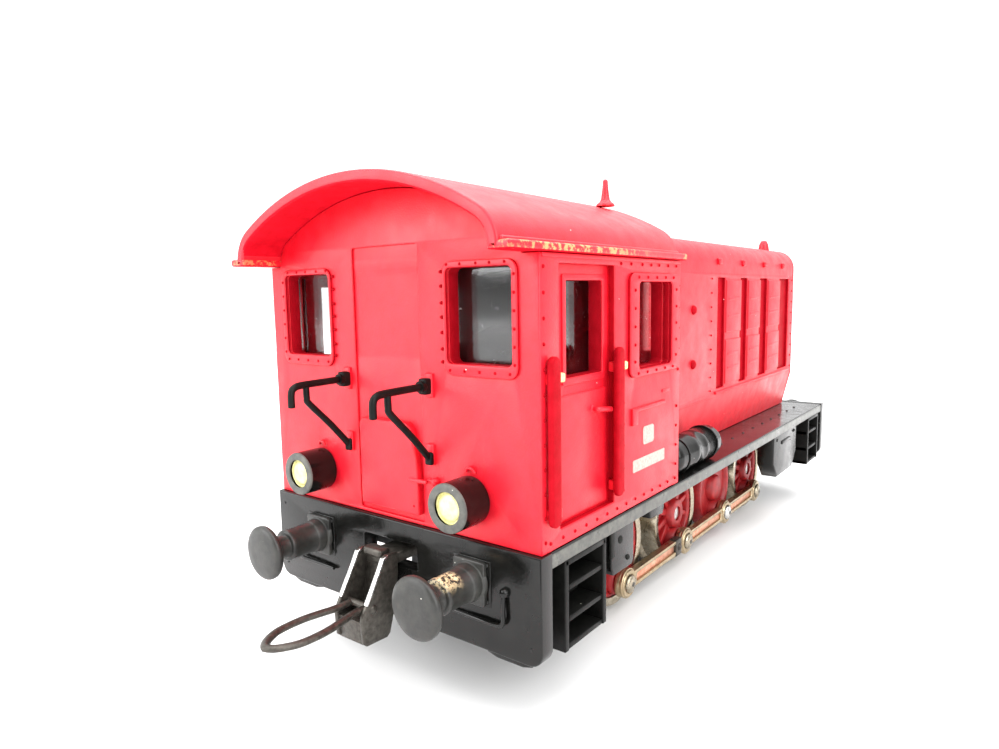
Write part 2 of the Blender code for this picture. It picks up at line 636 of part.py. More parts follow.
def make_motor():
    """Motor in two shells and its armature, whose shaft carries the worm."""
    housing = add_box("motor_housing", (3.0, -8.0, 17.5), (24.0, 8.0, 33.5))
    cut(housing, shaft_line_bar("armature_room", 6.1, 4.2, 26.0, ROUND))
    cut(housing, shaft_line_bar("rear_bearing", MOTOR_SHAFT_RADIUS + 0.11, 0.0, 6.0, ROUND_SMALL))
    finish(housing, STEEL)
    cap = add_box("motor_brush_cap", (24.06, -7.0, 18.5), (25.5, 7.0, 32.5))
    cut(cap, shaft_line_bar("front_bearing", MOTOR_SHAFT_RADIUS + 0.11, 20.0, 30.0, ROUND_SMALL))
    finish(cap, BLACK)
    thin = MOTOR_SHAFT_RADIUS
    profile = [(0, 26.2), (thin, 26.2), (thin, 22.0), (2.4, 22.0), (2.4, 18.5), (1.4, 18.5), (1.4, 17.0),
               (5.5, 17.0), (5.5, 6.0), (1.4, 6.0), (1.4, 5.2), (thin, 5.2), (thin, -1.4),
               (WORM_CORE_RADIUS, -1.4), (WORM_CORE_RADIUS, -10.6), (thin, -10.6), (thin, -12.5),
               (0, -12.5)]
    armature = add_turned("motor_armature", profile, origin=(0, 0, MOTOR_Z), rotation=TURN_TO_X[FRONT])
    for index in range(3):
        slot = add_box(f"armature_slot_{index}", (5.0, -0.5, 3.6), (17.6, 0.5, 7.0), CUTTERS,
                       (0, 0, MOTOR_Z), (index * 120, 0, 0))
        cut(armature, slot)
    join(armature, worm_thread())
    finish(armature, BRASS)


def worm_thread():
    """Single-start thread, in phase with the gap at the top of the worm wheel."""
    lead = math.pi * GEAR_MODULE
    points = []
    per_turn = 10
    turns = 2
    for index in range(-turns * per_turn, turns * per_turn + 1):
        angle = 2 * math.pi * index / per_turn
        points.append((WORM_WHEEL_X + lead * index / per_turn, -1.2 * math.sin(angle),
                       -1.2 * math.cos(angle)))
    return add_wire("worm_thread", points, 0.27, False, (0, 0, MOTOR_Z), (0, 0, 0), CUTTERS, 1)


def make_pickup(side):
    """Wiper strip between the chassis block and the wheels, with a finger on each wheel's back."""
    low, high = sorted((side * 6.2, side * 6.5))
    strip = add_box(f"pickup_{SIDE_NAMES[side]}", (-23.0, low, 9.3), (28.5, high, 10.7))
    for label, x in (("rear", AXLE_REAR_X), ("middle", AXLE_MIDDLE_X), ("front", AXLE_FRONT_X)):
        finger_low, finger_high = sorted((side * 6.4, side * 7.1))
        join(strip, add_box(f"finger_{label}_{SIDE_NAMES[side]}", (x - 0.6, finger_low, 9.5),
                            (x + 0.6, finger_high, 10.3), CUTTERS))
    finish(strip, BRASS)


# ---------------------------------------------------------------- cab

def roof_section(inset):
    """Half section of the roof's outer face, moved in by inset: apex first, down to the eaves."""
    radius = ROOF_RADIUS - inset
    shoulder = ROOF_SHOULDER_RADIUS - inset
    centre_z = ROOF_APEX_Z - ROOF_RADIUS
    shoulder_y = ROOF_HALF_WIDTH - ROOF_SHOULDER_RADIUS
    reach = ROOF_RADIUS - ROOF_SHOULDER_RADIUS
    shoulder_z = centre_z + math.sqrt(reach ** 2 - shoulder_y ** 2)
    joint = math.degrees(math.atan2(shoulder_z - centre_z, shoulder_y))
    points = arc((0, centre_z), radius, 90, joint, 8)
    points += arc((shoulder_y, shoulder_z), shoulder, joint, 0, 6)[1:]
    return points


def mirrored(points):
    """The same outline on the other side, in reverse order."""
    return [(-across, up) for across, up in reversed(points)]


def make_roof():
    outer = roof_section(0.0)
    inner = roof_section(ROOF_THICKNESS)
    gutter_top = EAVES_Z + GAP + GUTTER_HEIGHT
    right_half = outer + [(ROOF_HALF_WIDTH, gutter_top), (GUTTER_HALF_WIDTH, gutter_top),
                          (GUTTER_HALF_WIDTH, EAVES_Z + GAP), (inner[-1][0], EAVES_Z + GAP)]
    inside = list(reversed(inner))
    outline = right_half + inside + mirrored(inside)[1:] + mirrored(right_half)[:-1]
    roof = add_plate("cab_roof", [outline], ROOF_REAR_X, ROOF_FRONT_X, rotation=OUTLINE_YZ)
    finish(roof, RED)


def make_cab():
    """Cab walls; the end walls rise into the arch of the roof."""
    inner = roof_section(ROOF_THICKNESS + GAP)
    arch = [point for point in inner if point[1] > EAVES_Z]
    half = arch + [(arch[-1][0], EAVES_Z), (CAB_HALF_WIDTH, EAVES_Z), (CAB_HALF_WIDTH, DECK_TOP + GAP)]
    outline = half + mirrored(half)[:-1]
    cab = add_plate("cab_shell", [outline], CAB_REAR_X, CAB_FRONT_X, rotation=OUTLINE_YZ)
    for side in (RIGHT, LEFT):
        for label, x_low in (("rear", -44.5), ("door", -33.85)):
            join_handrail(cab, side, label, x_low)
    inside = CAB_HALF_WIDTH - CAB_SIDE_WALL
    cut(cab, add_box("cab_room", (CAB_REAR_X + CAB_WALL, -inside, 10), (CAB_FRONT_X - CAB_WALL, inside, 60),
                     CUTTERS))
    for side in (RIGHT, LEFT):
        name = SIDE_NAMES[side]
        beyond = side * (CAB_HALF_WIDTH + 0.1)
        recess_low, recess_high = sorted((side * (CAB_HALF_WIDTH - DOOR_RECESS), beyond))
        cut(cab, add_box(f"door_recess_{name}", (-42.5, recess_low, 17.6), (-33.3, recess_high, 39.2),
                         CUTTERS))
        wall_low, wall_high = sorted((side * 14.0, beyond))
        cut(cab, add_box(f"door_window_{name}", (-40.45, wall_low, 29.8), (-34.4, wall_high, 37.9),
                         CUTTERS))
        cut(cab, add_box(f"side_window_{name}", (-29.1, wall_low, 29.5), (-21.6, wall_high, 37.8),
                         CUTTERS))
        end_low, end_high = sorted((side * 7.6, side * 14.5))
        cut(cab, add_box(f"end_window_{name}", (CAB_REAR_X - 1, end_low, 31.1),
                         (CAB_REAR_X + 3, end_high, 39.1), CUTTERS))
        front_low, front_high = sorted((side * 12.6, side * 14.7))
        cut(cab, add_box(f"front_window_{name}", (CAB_FRONT_X - 3, front_low, 30.5),
                         (CAB_FRONT_X + 1, front_high, 38.0), CUTTERS))
        cut(cab, add_bar(f"lamp_opening_{name}", LAMP_BORE, -3, 3, CUTTERS,
                         (CAB_REAR_X, side * REAR_LAMP_Y, LAMP_Z), TURN_TO_X[REAR]))
    cut(cab, add_box("drive_opening", (CAB_FRONT_X - 3, -7.5, 10), (CAB_FRONT_X + 1, 7.5, 27.5), CUTTERS))
    finish(cab, RED)


def join_handrail(cab, side, label, x_low):
    """Upright bar beside the doorway, held off the wall by a foot at each end."""
    name = f"handrail_{label}_{SIDE_NAMES[side]}"
    low, high = sorted((side * 17.2, side * 17.8))
    join(cab, add_box(name, (x_low, low, 18.3), (x_low + 0.8, high, 32.0), CUTTERS))
    foot_low, foot_high = sorted((side * (CAB_HALF_WIDTH - 0.3), side * 17.6))
    for index, z in enumerate((18.7, 30.8)):
        join(cab, add_box(f"{name}_foot_{index}", (x_low + 0.1, foot_low, z),
                          (x_low + 1.3, foot_high, z + 0.8), CUTTERS))


def make_glazing():
    face = CAB_REAR_X + CAB_WALL + GAP
    reach = CAB_HALF_WIDTH - CAB_SIDE_WALL - GAP
    finish(add_box("glazing_rear", (face, -reach, 29.0), (face + PANE, reach, 39.7)), CLEAR)
    for side in (RIGHT, LEFT):
        low, high = sorted((side * reach, side * (reach - PANE)))
        pane = add_box(f"glazing_{SIDE_NAMES[side]}", (-42.8, low, 29.0), (-20.5, high, 38.8))
        finish(pane, CLEAR)


def make_rail_bracket(side):
    """Bracket on the end wall: a bar with a turned-down tip, and a stay down to the wall."""
    wall = CAB_REAR_X - GAP
    outline = [(wall, 29.75), (wall - 0.9, 29.75), (wall - 1.1, 29.35), (wall - 6.6, 29.35),
               (wall - 6.95, 29.0),
               (wall - 6.95, 27.0), (wall - 6.35, 27.0), (wall - 6.35, 28.65), (wall - 5.5, 28.65),
               (wall - 5.4, 28.1), (wall - 0.5, 22.4), (wall, 22.0), (wall, 23.2), (wall - 4.55, 28.65),
               (wall - 1.1, 28.65), (wall - 0.9, 28.2), (wall, 28.2)]
    bracket = add_plate(f"rail_bracket_{SIDE_NAMES[side]}", [outline], -0.35, 0.35,
                        origin=(0, side * 5.35, 0), rotation=OUTLINE_XZ)
    finish(bracket, BLACK)


def make_horn():
    profile = [(0, 49.15), (0.25, 49.1), (0.42, 47.2), (0.55, 46.8), (1.0, 46.55), (1.0, 46.3), (0, 46.3)]
    foot = roof_height(9.3) + GAP + 0.2
    lift = foot - 46.3
    finish(add_turned("horn", [(radius, height + lift) for radius, height in profile],
                      origin=(-21.2, -9.3, 0), sides=ROUND_SMALL), RED)


def roof_height(across):
    return ROOF_APEX_Z - ROOF_RADIUS + math.sqrt(ROOF_RADIUS ** 2 - across ** 2)


# ---------------------------------------------------------------- bonnet

def hood_section(inset):
    """Closed section of the bonnet, moved in by inset on the sides and the top."""
    side = HOOD_HALF_WIDTH - inset
    foot = HOOD_FOOT_HALF_WIDTH - inset
    radius = HOOD_SHOULDER_RADIUS - inset
    shoulder = arc((HOOD_HALF_WIDTH - HOOD_SHOULDER_RADIUS, HOOD_SHOULDER_Z), radius, 0, 74, 5)
    apex = HOOD_APEX_Z - inset
    edge_y, edge_z = shoulder[-1]
    crown = [(edge_y * share, apex - (apex - edge_z) * share ** 2) for share in (0.75, 0.5, 0.25)]
    half = [(foot, DECK_TOP + GAP - inset), (side, HOOD_SKIRT_TOP)] + shoulder + crown
    return half + [(0, apex)] + mirrored(half)


def make_hood():
    hood = add_plate("hood_shell", [hood_section(0.0)], HOOD_REAR_X, HOOD_FRONT_X, rotation=OUTLINE_YZ)
    room = add_plate("hood_room", [hood_section(HOOD_WALL)], HOOD_REAR_X - 2, HOOD_FRONT_X - HOOD_WALL,
                     CUTTERS, rotation=OUTLINE_YZ)
    cut(hood, room)
    for side in (RIGHT, LEFT):
        name = SIDE_NAMES[side]
        low, high = sorted((side * (HOOD_HALF_WIDTH - 0.6), side * (HOOD_HALF_WIDTH + 0.5)))
        for index, (x_low, x_high) in enumerate(((4.9, 7.6), (14.6, 16.8), (23.6, 26.6), (33.6, 39.2))):
            cut(hood, add_box(f"hood_recess_{index}_{name}", (x_low, low, 23.2), (x_high, high, 38.7),
                              CUTTERS))
        cut(hood, add_bar(f"front_lamp_opening_{name}", LAMP_BORE, -3, 3, CUTTERS,
                          (HOOD_FRONT_X, side * FRONT_LAMP_Y, LAMP_Z), TURN_TO_X[FRONT]))
    cut(hood, add_box("radiator_recess", (HOOD_FRONT_X - 0.6, -8.5, 24.0), (HOOD_FRONT_X + 1, 8.5, 39.5),
                      CUTTERS))
    cap = [(0, 45.3), (0.55, 45.2), (0.75, 44.2), (0.8, 41.9), (0, 41.9)]
    join(hood, add_turned("filler_cap", cap, CUTTERS, (36.5, -8.6, 0), sides=ROUND_SMALL))
    finish(hood, RED)


def make_air_tank(side):
    """Compressed-air tank lying on the running board behind the cab."""
    profile = [(0, 7.0), (1.0, 6.85), (1.75, 6.4), (2.05, 5.8), (2.05, -5.8), (1.75, -6.4), (1.0, -6.85),
               (0, -7.0)]
    tank = add_turned(f"air_tank_{SIDE_NAMES[side]}", profile,
                      origin=(-11.5, side * 15.0, DECK_TOP + 2.05 + GAP), rotation=TURN_TO_X[FRONT])
    finish(tank, BLACK)


# ---------------------------------------------------------------- lamps and wiring

def lamp_face(end):
    """World X of the wall that carries the lamps, and their distance from the middle."""
    return (CAB_REAR_X, REAR_LAMP_Y) if end == REAR else (HOOD_FRONT_X, FRONT_LAMP_Y)


def make_lamp(end, side):
    wall, across = lamp_face(end)
    profile = [(LAMP_BORE, LAMP_LENGTH), (LAMP_RADIUS - 0.1, LAMP_LENGTH), (LAMP_RADIUS, LAMP_LENGTH - 0.1),
               (LAMP_RADIUS, GAP), (LAMP_BORE, GAP)]
    lamp = add_turned(f"lamp_{END_NAMES[end]}_{SIDE_NAMES[side]}", profile,
                      origin=(wall, side * across, LAMP_Z), rotation=TURN_TO_X[end])
    finish(lamp, BLACK)


def make_light_guide(end):
    """Clear moulding: a cross bar inside the body with a prong out to each lamp."""
    wall, across = lamp_face(end)
    bar_face = wall - end * 1.65
    low, high = sorted((bar_face, bar_face - end * 1.0))
    guide = add_box(f"light_guide_{END_NAMES[end]}", (low, -across - 1.3, LAMP_Z - 1.0),
                    (high, across + 1.3, LAMP_Z + 1.0))
    radius = LAMP_BORE - GAP
    reach = LAMP_LENGTH - 0.3
    for side in (RIGHT, LEFT):
        profile = [(0, reach + 0.2), (radius * 0.6, reach + 0.12), (radius, reach - 0.1), (radius, -2.0),
                   (0, -2.0)]
        join(guide, add_turned(f"prong_{END_NAMES[end]}_{SIDE_NAMES[side]}", profile, CUTTERS,
                               (wall, side * across, LAMP_Z), TURN_TO_X[end]))
    finish(guide, LENS)


def make_bulb(end):
    """Small filament bulb behind the light guide's cross bar, its glass tip towards that end."""
    wall, _ = lamp_face(end)
    profile = [(0, -2.95), (0.6, -3.05), (1.05, -3.5), (1.15, -5.2), (0.9, -5.4), (0.9, -6.9), (0, -6.9)]
    bulb = add_turned(f"bulb_{END_NAMES[end]}", profile, origin=(wall, 0, LAMP_Z),
                      rotation=TURN_TO_X[end], sides=ROUND_SMALL)
    finish(bulb, LENS)


def make_circuit_board():
    board = add_box("circuit_board", (-34.0, -5.5, 22.1), (-21.5, 5.5, 23.0))
    for index, (x, y) in enumerate(((-31.5, -3.0), (-27.5, 2.0), (-24.0, -2.0))):
        join(board, add_box(f"board_component_{index}", (x - 1.2, y - 1.0, 22.6), (x + 1.2, y + 1.0, 24.4),
                            CUTTERS))
    finish(board, BOARD)


# ---------------------------------------------------------------- assembly

make_frame()
make_chassis_block()
make_keeper_plate()
make_bottom_screw("keeper_screw", 31.0)
make_bottom_screw("body_screw", -31.0)
make_gear_train()
make_motor()
for axle_label, axle_x in (("rear", AXLE_REAR_X), ("middle", AXLE_MIDDLE_X), ("front", AXLE_FRONT_X)):
    make_wheelset(axle_label, axle_x)
make_jackshaft()
make_roof()
make_cab()
make_glazing()
make_horn()
make_hood()
make_circuit_board()
for one_side in (RIGHT, LEFT):
    make_side_rod(one_side)
    make_pickup(one_side)
    make_rail_bracket(one_side)
    make_air_tank(one_side)
for one_end in (REAR, FRONT):
    make_coupler(one_end)
    make_bail(one_end)
    make_pivot_screw(one_end)
    make_light_guide(one_end)
    make_bulb(one_end)
    for one_side in (RIGHT, LEFT):
        make_steps(one_end, one_side)
        make_buffer(one_end, one_side)
        make_lamp(one_end, one_side)
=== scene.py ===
"""Looks of an H0 side-rod diesel locomotive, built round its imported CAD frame.

Shapes are made in millimetres and scaled by MM when a piece is finished. X runs along the
locomotive (bonnet at +X), Y across it (left is +Y) and Z up from the lowest point of the flanges.
Outlines are (across, up) pairs in a plate's own plane, and turned profiles are (radius, height).
"""

import json
import math

import bmesh
import bpy
from mathutils import Matrix, Vector
from mathutils.geometry import tessellate_polygon


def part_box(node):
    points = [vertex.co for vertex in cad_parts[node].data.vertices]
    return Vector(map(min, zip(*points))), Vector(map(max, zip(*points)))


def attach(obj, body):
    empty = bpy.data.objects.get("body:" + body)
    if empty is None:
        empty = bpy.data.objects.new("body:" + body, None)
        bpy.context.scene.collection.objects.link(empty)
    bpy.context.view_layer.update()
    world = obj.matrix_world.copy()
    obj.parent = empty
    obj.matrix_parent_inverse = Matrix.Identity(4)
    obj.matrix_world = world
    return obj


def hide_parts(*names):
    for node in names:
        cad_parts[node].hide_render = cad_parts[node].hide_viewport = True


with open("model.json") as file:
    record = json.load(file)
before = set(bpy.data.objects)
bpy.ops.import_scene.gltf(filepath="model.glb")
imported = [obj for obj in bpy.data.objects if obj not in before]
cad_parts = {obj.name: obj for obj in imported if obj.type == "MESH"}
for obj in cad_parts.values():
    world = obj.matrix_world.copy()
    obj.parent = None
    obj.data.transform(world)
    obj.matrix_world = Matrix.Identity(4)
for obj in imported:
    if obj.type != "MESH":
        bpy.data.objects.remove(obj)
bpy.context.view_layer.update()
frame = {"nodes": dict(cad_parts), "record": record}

MM = 0.001
RIGHT, LEFT = -1, 1
REAR, FRONT = -1, 1
SIDES = {RIGHT: "right", LEFT: "left"}
ENDS = {REAR: "rear", FRONT: "front"}
BODY_OF = {n: b for b, ns in frame["record"]["behaviour"]["bodies"].items() for n in ns}


def box_mm(node):
    """Lowest and highest corner of a CAD node, in millimetres."""
    low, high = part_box(node)
    return [v / MM for v in low], [v / MM for v in high]


# ---------------------------------------------------------------- materials

def nodes_of(material):
    return material.node_tree.nodes


def new_node(material, kind, **values):
    node = nodes_of(material).new(kind)
    for name, value in values.items():
        if hasattr(node, name):
            setattr(node, name, value)
        else:
            node.inputs[name.replace("_", " ")].default_value = value
    return node


def wire(material, source, target):
    material.node_tree.links.new(source, target)


def piece_place(material):
    """Coordinates held to the piece, in metres."""
    return new_node(material, "ShaderNodeTexCoord").outputs["Object"]


def object_noise(material, size_mm, detail=3.0, roughness=0.55):
    """Noise with grains of about size_mm, held to the piece."""
    noise = new_node(material, "ShaderNodeTexNoise", Scale=1.0 / (size_mm * MM), Detail=detail,
                     Roughness=roughness)
    wire(material, piece_place(material), noise.inputs["Vector"])
    return noise.outputs["Fac"]


def ramp(material, value, stops):
    node = new_node(material, "ShaderNodeValToRGB")
    while len(node.color_ramp.elements) < len(stops):
        node.color_ramp.elements.new(0.5)
    for element, (position, colour) in zip(node.color_ramp.elements, stops):
        element.position = position
        if not isinstance(colour, (tuple, list)):
            colour = (colour, colour, colour)
        element.color = (*colour, 1.0)
    wire(material, value, node.inputs["Fac"])
    return node.outputs["Color"]


def blended(material, share, first, second):
    node = new_node(material, "ShaderNodeMix", data_type="RGBA")
    for socket, value in ((node.inputs[0], share), (node.inputs[6], first), (node.inputs[7], second)):
        if isinstance(value, bpy.types.NodeSocket):
            wire(material, value, socket)
        elif isinstance(value, (tuple, list)):
            socket.default_value = (*value, 1.0)
        else:
            socket.default_value = value
    return node.outputs[2]


def combined(material, operation, first, second):
    """A socket put through a Math node with another socket or a number."""
    node = new_node(material, "ShaderNodeMath", operation=operation)
    wire(material, first, node.inputs[0])
    if isinstance(second, bpy.types.NodeSocket):
        wire(material, second, node.inputs[1])
    else:
        node.inputs[1].default_value = second
    return node.outputs[0]


def specks(material, cell_mm, share, radius_mm):
    """1 inside small dots; this share of the cells holds one."""
    cells = new_node(material, "ShaderNodeTexVoronoi", Scale=1.0 / (cell_mm * MM), feature="F1")
    wire(material, piece_place(material), cells.inputs["Vector"])
    near = combined(material, "LESS_THAN", cells.outputs["Distance"], radius_mm / cell_mm)
    split = new_node(material, "ShaderNodeSeparateColor")
    wire(material, cells.outputs["Color"], split.inputs[0])
    chosen = combined(material, "GREATER_THAN", split.outputs[0], 1.0 - share)
    return combined(material, "MULTIPLY", near, chosen)


def grain_bump(material, shader, size_mm, depth_mm):
    bump = new_node(material, "ShaderNodeBump", Strength=1.0, Distance=depth_mm * MM)
    wire(material, object_noise(material, size_mm, 2.0), bump.inputs["Height"])
    wire(material, bump.outputs["Normal"], shader.inputs["Normal"])


def start_material(name, roughness, metallic=0.0, specular=0.5):
    material = bpy.data.materials.new(name)
    material.use_nodes = True
    shader = nodes_of(material)["Principled BSDF"]
    shader.inputs["Roughness"].default_value = roughness
    shader.inputs["Metallic"].default_value = metallic
    shader.inputs["Specular IOR Level"].default_value = specular
    return material, shader


def red_plastic(name, specular=0.42, dust=0.10, rough=(0.34, 0.50), chips=None, painted_shade_factor=1.0):
    """Moulded and sprayed red: orange-peel grain, faint mottling, dust, and bare chips where asked; a painted
    shade factor below 1 darkens the whole colour as painted shade.
    """
    material, shader = start_material(name, 0.4, specular=specular)
    mottle = object_noise(material, 1.1, 5.0, 0.7)
    colour = ramp(material, mottle, [(0.32, (0.56 * painted_shade_factor, 0.003 * painted_shade_factor, 0.012 * painted_shade_factor)),
                                     (0.62, (0.70 * painted_shade_factor, 0.006 * painted_shade_factor, 0.020 * painted_shade_factor))])
    colour = blended(material, specks(material, 1.3, dust, 0.055), colour, (0.95, 0.80, 0.76))
    if chips:
        colour = chips(material, colour)
    wire(material, colour, shader.inputs["Base Color"])
    sheen = ramp(material, object_noise(material, 2.3, 4.0), [(0.3, rough[0]), (0.7, rough[1])])
    wire(material, sheen, shader.inputs["Roughness"])
    grain_bump(material, shader, 0.16, 0.016)
    return material


def axis_window(material, axis, low_mm, high_mm, soft_mm):
    """1 between two places along a world axis of the resting piece, fading over soft_mm."""
    split = new_node(material, "ShaderNodeSeparateXYZ")
    wire(material, piece_place(material), split.inputs[0])
    ends = []
    for edge, soft in ((low_mm, soft_mm), (high_mm, -soft_mm)):
        spread = new_node(material, "ShaderNodeMapRange", interpolation_type="SMOOTHSTEP",
                          From_Min=(edge - soft) * MM, From_Max=(edge + soft) * MM)
        wire(material, split.outputs[axis], spread.inputs["Value"])
        ends.append(spread.outputs[0])
    return combined(material, "MULTIPLY", *ends)


def gutter_chips(material, colour):
    """Paint worn to cream along the gutter, most of it over the rear door."""
    patch = ramp(material, object_noise(material, 0.55, 4.0, 0.7), [(0.49, 0.0), (0.56, 1.0)])
    rear = axis_window(material, 0, -49.8, -30.0, 6.0)
    front = axis_window(material, 0, -19.3, -17.5, 0.5)
    share = combined(material, "MULTIPLY", patch, combined(material, "MAXIMUM", rear, front))
    return blended(material, share, colour, (0.56, 0.26, 0.10))


def black_plastic(name, base=0.005, rough=(0.20, 0.36), dust=0.10, grain=0.22, specular=0.34):
    """Satin black moulding, a little dusty, with olive-grey rubbed places."""
    material, shader = start_material(name, 0.35, specular=specular)
    worn = ramp(material, object_noise(material, 0.9, 5.0, 0.65),
                [(0.35, (base, base, base * 0.95)), (0.75, (base * 2.2, base * 2.2, base * 1.9))])
    film = ramp(material, object_noise(material, 3.1, 4.0, 0.6), [(0.52, 0.0), (0.8, dust)])
    colour = blended(material, film, worn, (0.11, 0.11, 0.095))
    colour = blended(material, specks(material, 1.1, 0.12, 0.05), colour, (0.55, 0.54, 0.48))
    wire(material, colour, shader.inputs["Base Color"])
    roughness = ramp(material, object_noise(material, 1.7, 4.0), [(0.3, rough[0]), (0.7, rough[1])])
    wire(material, roughness, shader.inputs["Roughness"])
    grain_bump(material, shader, grain, 0.010)
    return material


def metal(name, dark, light, rough, grain_mm=0.5, bump_mm=0.004, metallic=1.0):
    material, shader = start_material(name, rough, metallic)
    colour = ramp(material, object_noise(material, grain_mm, 5.0, 0.6), [(0.3, dark), (0.7, light)])
    wire(material, colour, shader.inputs["Base Color"])
    roughness = ramp(material, object_noise(material, grain_mm * 2.1, 3.0),
                     [(0.3, rough - 0.08), (0.7, rough + 0.12)])
    wire(material, roughness, shader.inputs["Roughness"])
    grain_bump(material, shader, grain_mm * 0.4, bump_mm)
    return material


def plain_plastic(name, dark, light, rough=0.45, grain_mm=0.8):
    material, shader = start_material(name, rough)
    colour = ramp(material, object_noise(material, grain_mm, 4.0), [(0.35, dark), (0.7, light)])
    wire(material, colour, shader.inputs["Base Color"])
    grain_bump(material, shader, 0.2, 0.008)
    return material


def smoked_glass():
    """Thin dark glazing with fine scratches."""
    material, shader = start_material("smoked_glazing", 0.06)
    shader.inputs["Transmission Weight"].default_value = 1.0
    shader.inputs["IOR"].default_value = 1.45
    scratch = new_node(material, "ShaderNodeTexWave", Scale=900.0, Distortion=26.0, Detail=3.0)
    wire(material, piece_place(material), scratch.inputs["Vector"])
    line = ramp(material, scratch.outputs["Fac"], [(0.988, 0.0), (0.998, 1.0)])
    cloud = ramp(material, object_noise(material, 1.6, 4.0), [(0.56, 0.0), (0.72, 1.0)])
    mark = blended(material, line, (0, 0, 0), cloud)
    colour = blended(material, mark, (0.92, 0.93, 0.93), (0.72, 0.74, 0.72))
    wire(material, colour, shader.inputs["Base Color"])
    rough = ramp(material, mark, [(0.0, 0.06), (1.0, 0.5)])
    wire(material, rough, shader.inputs["Roughness"])
    return material


def lamp_lens():
    material, shader = start_material("lamp_lens", 0.25)
    colour = ramp(material, object_noise(material, 0.8, 3.0),
                  [(0.3, (0.66, 0.61, 0.22)), (0.7, (0.84, 0.80, 0.40))])
    wire(material, colour, shader.inputs["Base Color"])
    shader.inputs["Subsurface Weight"].default_value = 0.2
    shader.inputs["Subsurface Radius"].default_value = (0.4 * MM, 0.4 * MM, 0.3 * MM)
    grain_bump(material, shader, 0.3, 0.01)
    return material


RED = red_plastic("red_body")
RED_ROOF = red_plastic("red_roof")
# darker, less glossy copy of the red for window reveals, recess sides, rivet heads, handrail grips and the
# bonnet's lining: painted shade
RED_PAINTED_SHADE = red_plastic("red_painted_shade", 0.05, 0.03, (0.5, 0.62), painted_shade_factor=0.5)
# darker copy of the red for the roof's downward faces: painted shade under the roof
RED_SOFFIT_PAINTED_SHADE = red_plastic("red_soffit_painted_shade", 0.05, 0.03, (0.5, 0.62), painted_shade_factor=0.85)
RED_GUTTER = red_plastic("red_gutter_worn", chips=gutter_chips)
RED_WHEEL = plain_plastic("wheel_red", (0.24, 0.003, 0.006), (0.38, 0.008, 0.010), 0.48)
CREAM_CHIP = plain_plastic("bare_cream", (0.75, 0.44, 0.18), (0.92, 0.68, 0.36), 0.5, 0.3)
CREAM_PLATE = plain_plastic("cream_marking", (0.40, 0.26, 0.23), (0.54, 0.39, 0.34), 0.5, 0.3)
BLACK = black_plastic("black_frame", 0.003, (0.12, 0.30), 0.06, specular=0.28)
BLACK_DECK = black_plastic("black_running_board", 0.003, (0.14, 0.24), 0.01, specular=0.3)
BLACK_MATT = black_plastic("black_matt", 0.006, (0.5, 0.65), 0.05, specular=0.15)
BLACK_STEP = black_plastic("black_steps", 0.003, (0.34, 0.5), 0.03, specular=0.12)
# much lighter black for the running board's edge angle: painted highlight
DECK_EDGE_PAINTED_HIGHLIGHT = black_plastic("deck_edge_painted_highlight", 0.060, (0.25, 0.4), 0.5)
# much lighter black for the lamp tubes' front rings: painted reflection of the white surroundings
LAMP_RING_PAINTED_REFLECTION = black_plastic("lamp_ring_painted_reflection", 0.055, (0.40, 0.55), 0.5)
BLACKENED = metal("blackened_steel", (0.030, 0.026, 0.022), (0.085, 0.078, 0.066), 0.36, 0.4, 0.012, 0.6)
BARE_STEEL = metal("bare_steel_edge", (0.62, 0.62, 0.60), (0.88, 0.88, 0.86), 0.30, 0.3)
STEEL = metal("turned_steel", (0.46, 0.46, 0.45), (0.66, 0.65, 0.62), 0.28)
# nickel darkened and browned for the tyres: painted shade of the wheel space
TYRE_PAINTED_SHADE = metal("nickel_tyre_painted_shade", (0.26, 0.22, 0.16), (0.44, 0.39, 0.30), 0.26, 0.6)
ROD = metal("nickel_rod", (0.36, 0.27, 0.16), (0.54, 0.44, 0.29), 0.32, 0.8, 0.006)
ROD_RECESS = metal("rod_recess", (0.56, 0.22, 0.14), (0.80, 0.46, 0.32), 0.45, 0.7, 0.006, 0.7)
BRASS = metal("brass", (0.52, 0.33, 0.10), (0.78, 0.56, 0.24), 0.30)
COPPER = metal("copper_winding", (0.42, 0.12, 0.05), (0.70, 0.28, 0.14), 0.38, 0.25)
# zinc made near-black for the chassis block: painted shade between the wheels
ZINC_PAINTED_SHADE = metal("zinc_casting", (0.014, 0.014, 0.015), (0.026, 0.026, 0.027), 0.6, 1.2, 0.02, 0.3)
GLASS = smoked_glass()
LENS = lamp_lens()
BOARD = plain_plastic("circuit_board_green", (0.02, 0.12, 0.04), (0.04, 0.22, 0.08), 0.35)
WHITE_GEAR = plain_plastic("white_gear", (0.66, 0.64, 0.58), (0.84, 0.82, 0.76), 0.4)


# ---------------------------------------------------------------- shape helpers

IDENTITY = Matrix.Identity(4)


def place(origin=(0, 0, 0), along="z"):
    """Matrix that puts local Z along a world direction, at an origin."""
    tilt = {
        "z": IDENTITY,
        "-z": Matrix.Rotation(math.pi, 4, "X"),
        "x": Matrix(((0, 0, 1, 0), (1, 0, 0, 0), (0, 1, 0, 0), (0, 0, 0, 1))),
        "-x": Matrix(((0, 0, -1, 0), (-1, 0, 0, 0), (0, 1, 0, 0), (0, 0, 0, 1))),
        "y": Matrix(((-1, 0, 0, 0), (0, 0, 1, 0), (0, 1, 0, 0), (0, 0, 0, 1))),
        "-y": Matrix(((1, 0, 0, 0), (0, 0, -1, 0), (0, 1, 0, 0), (0, 0, 0, 1))),
    }[along]
    return Matrix.Translation(origin) @ tilt


def outwards(side):
    return "y" if side == LEFT else "-y"


def endwards(end):
    return "x" if end == FRONT else "-x"


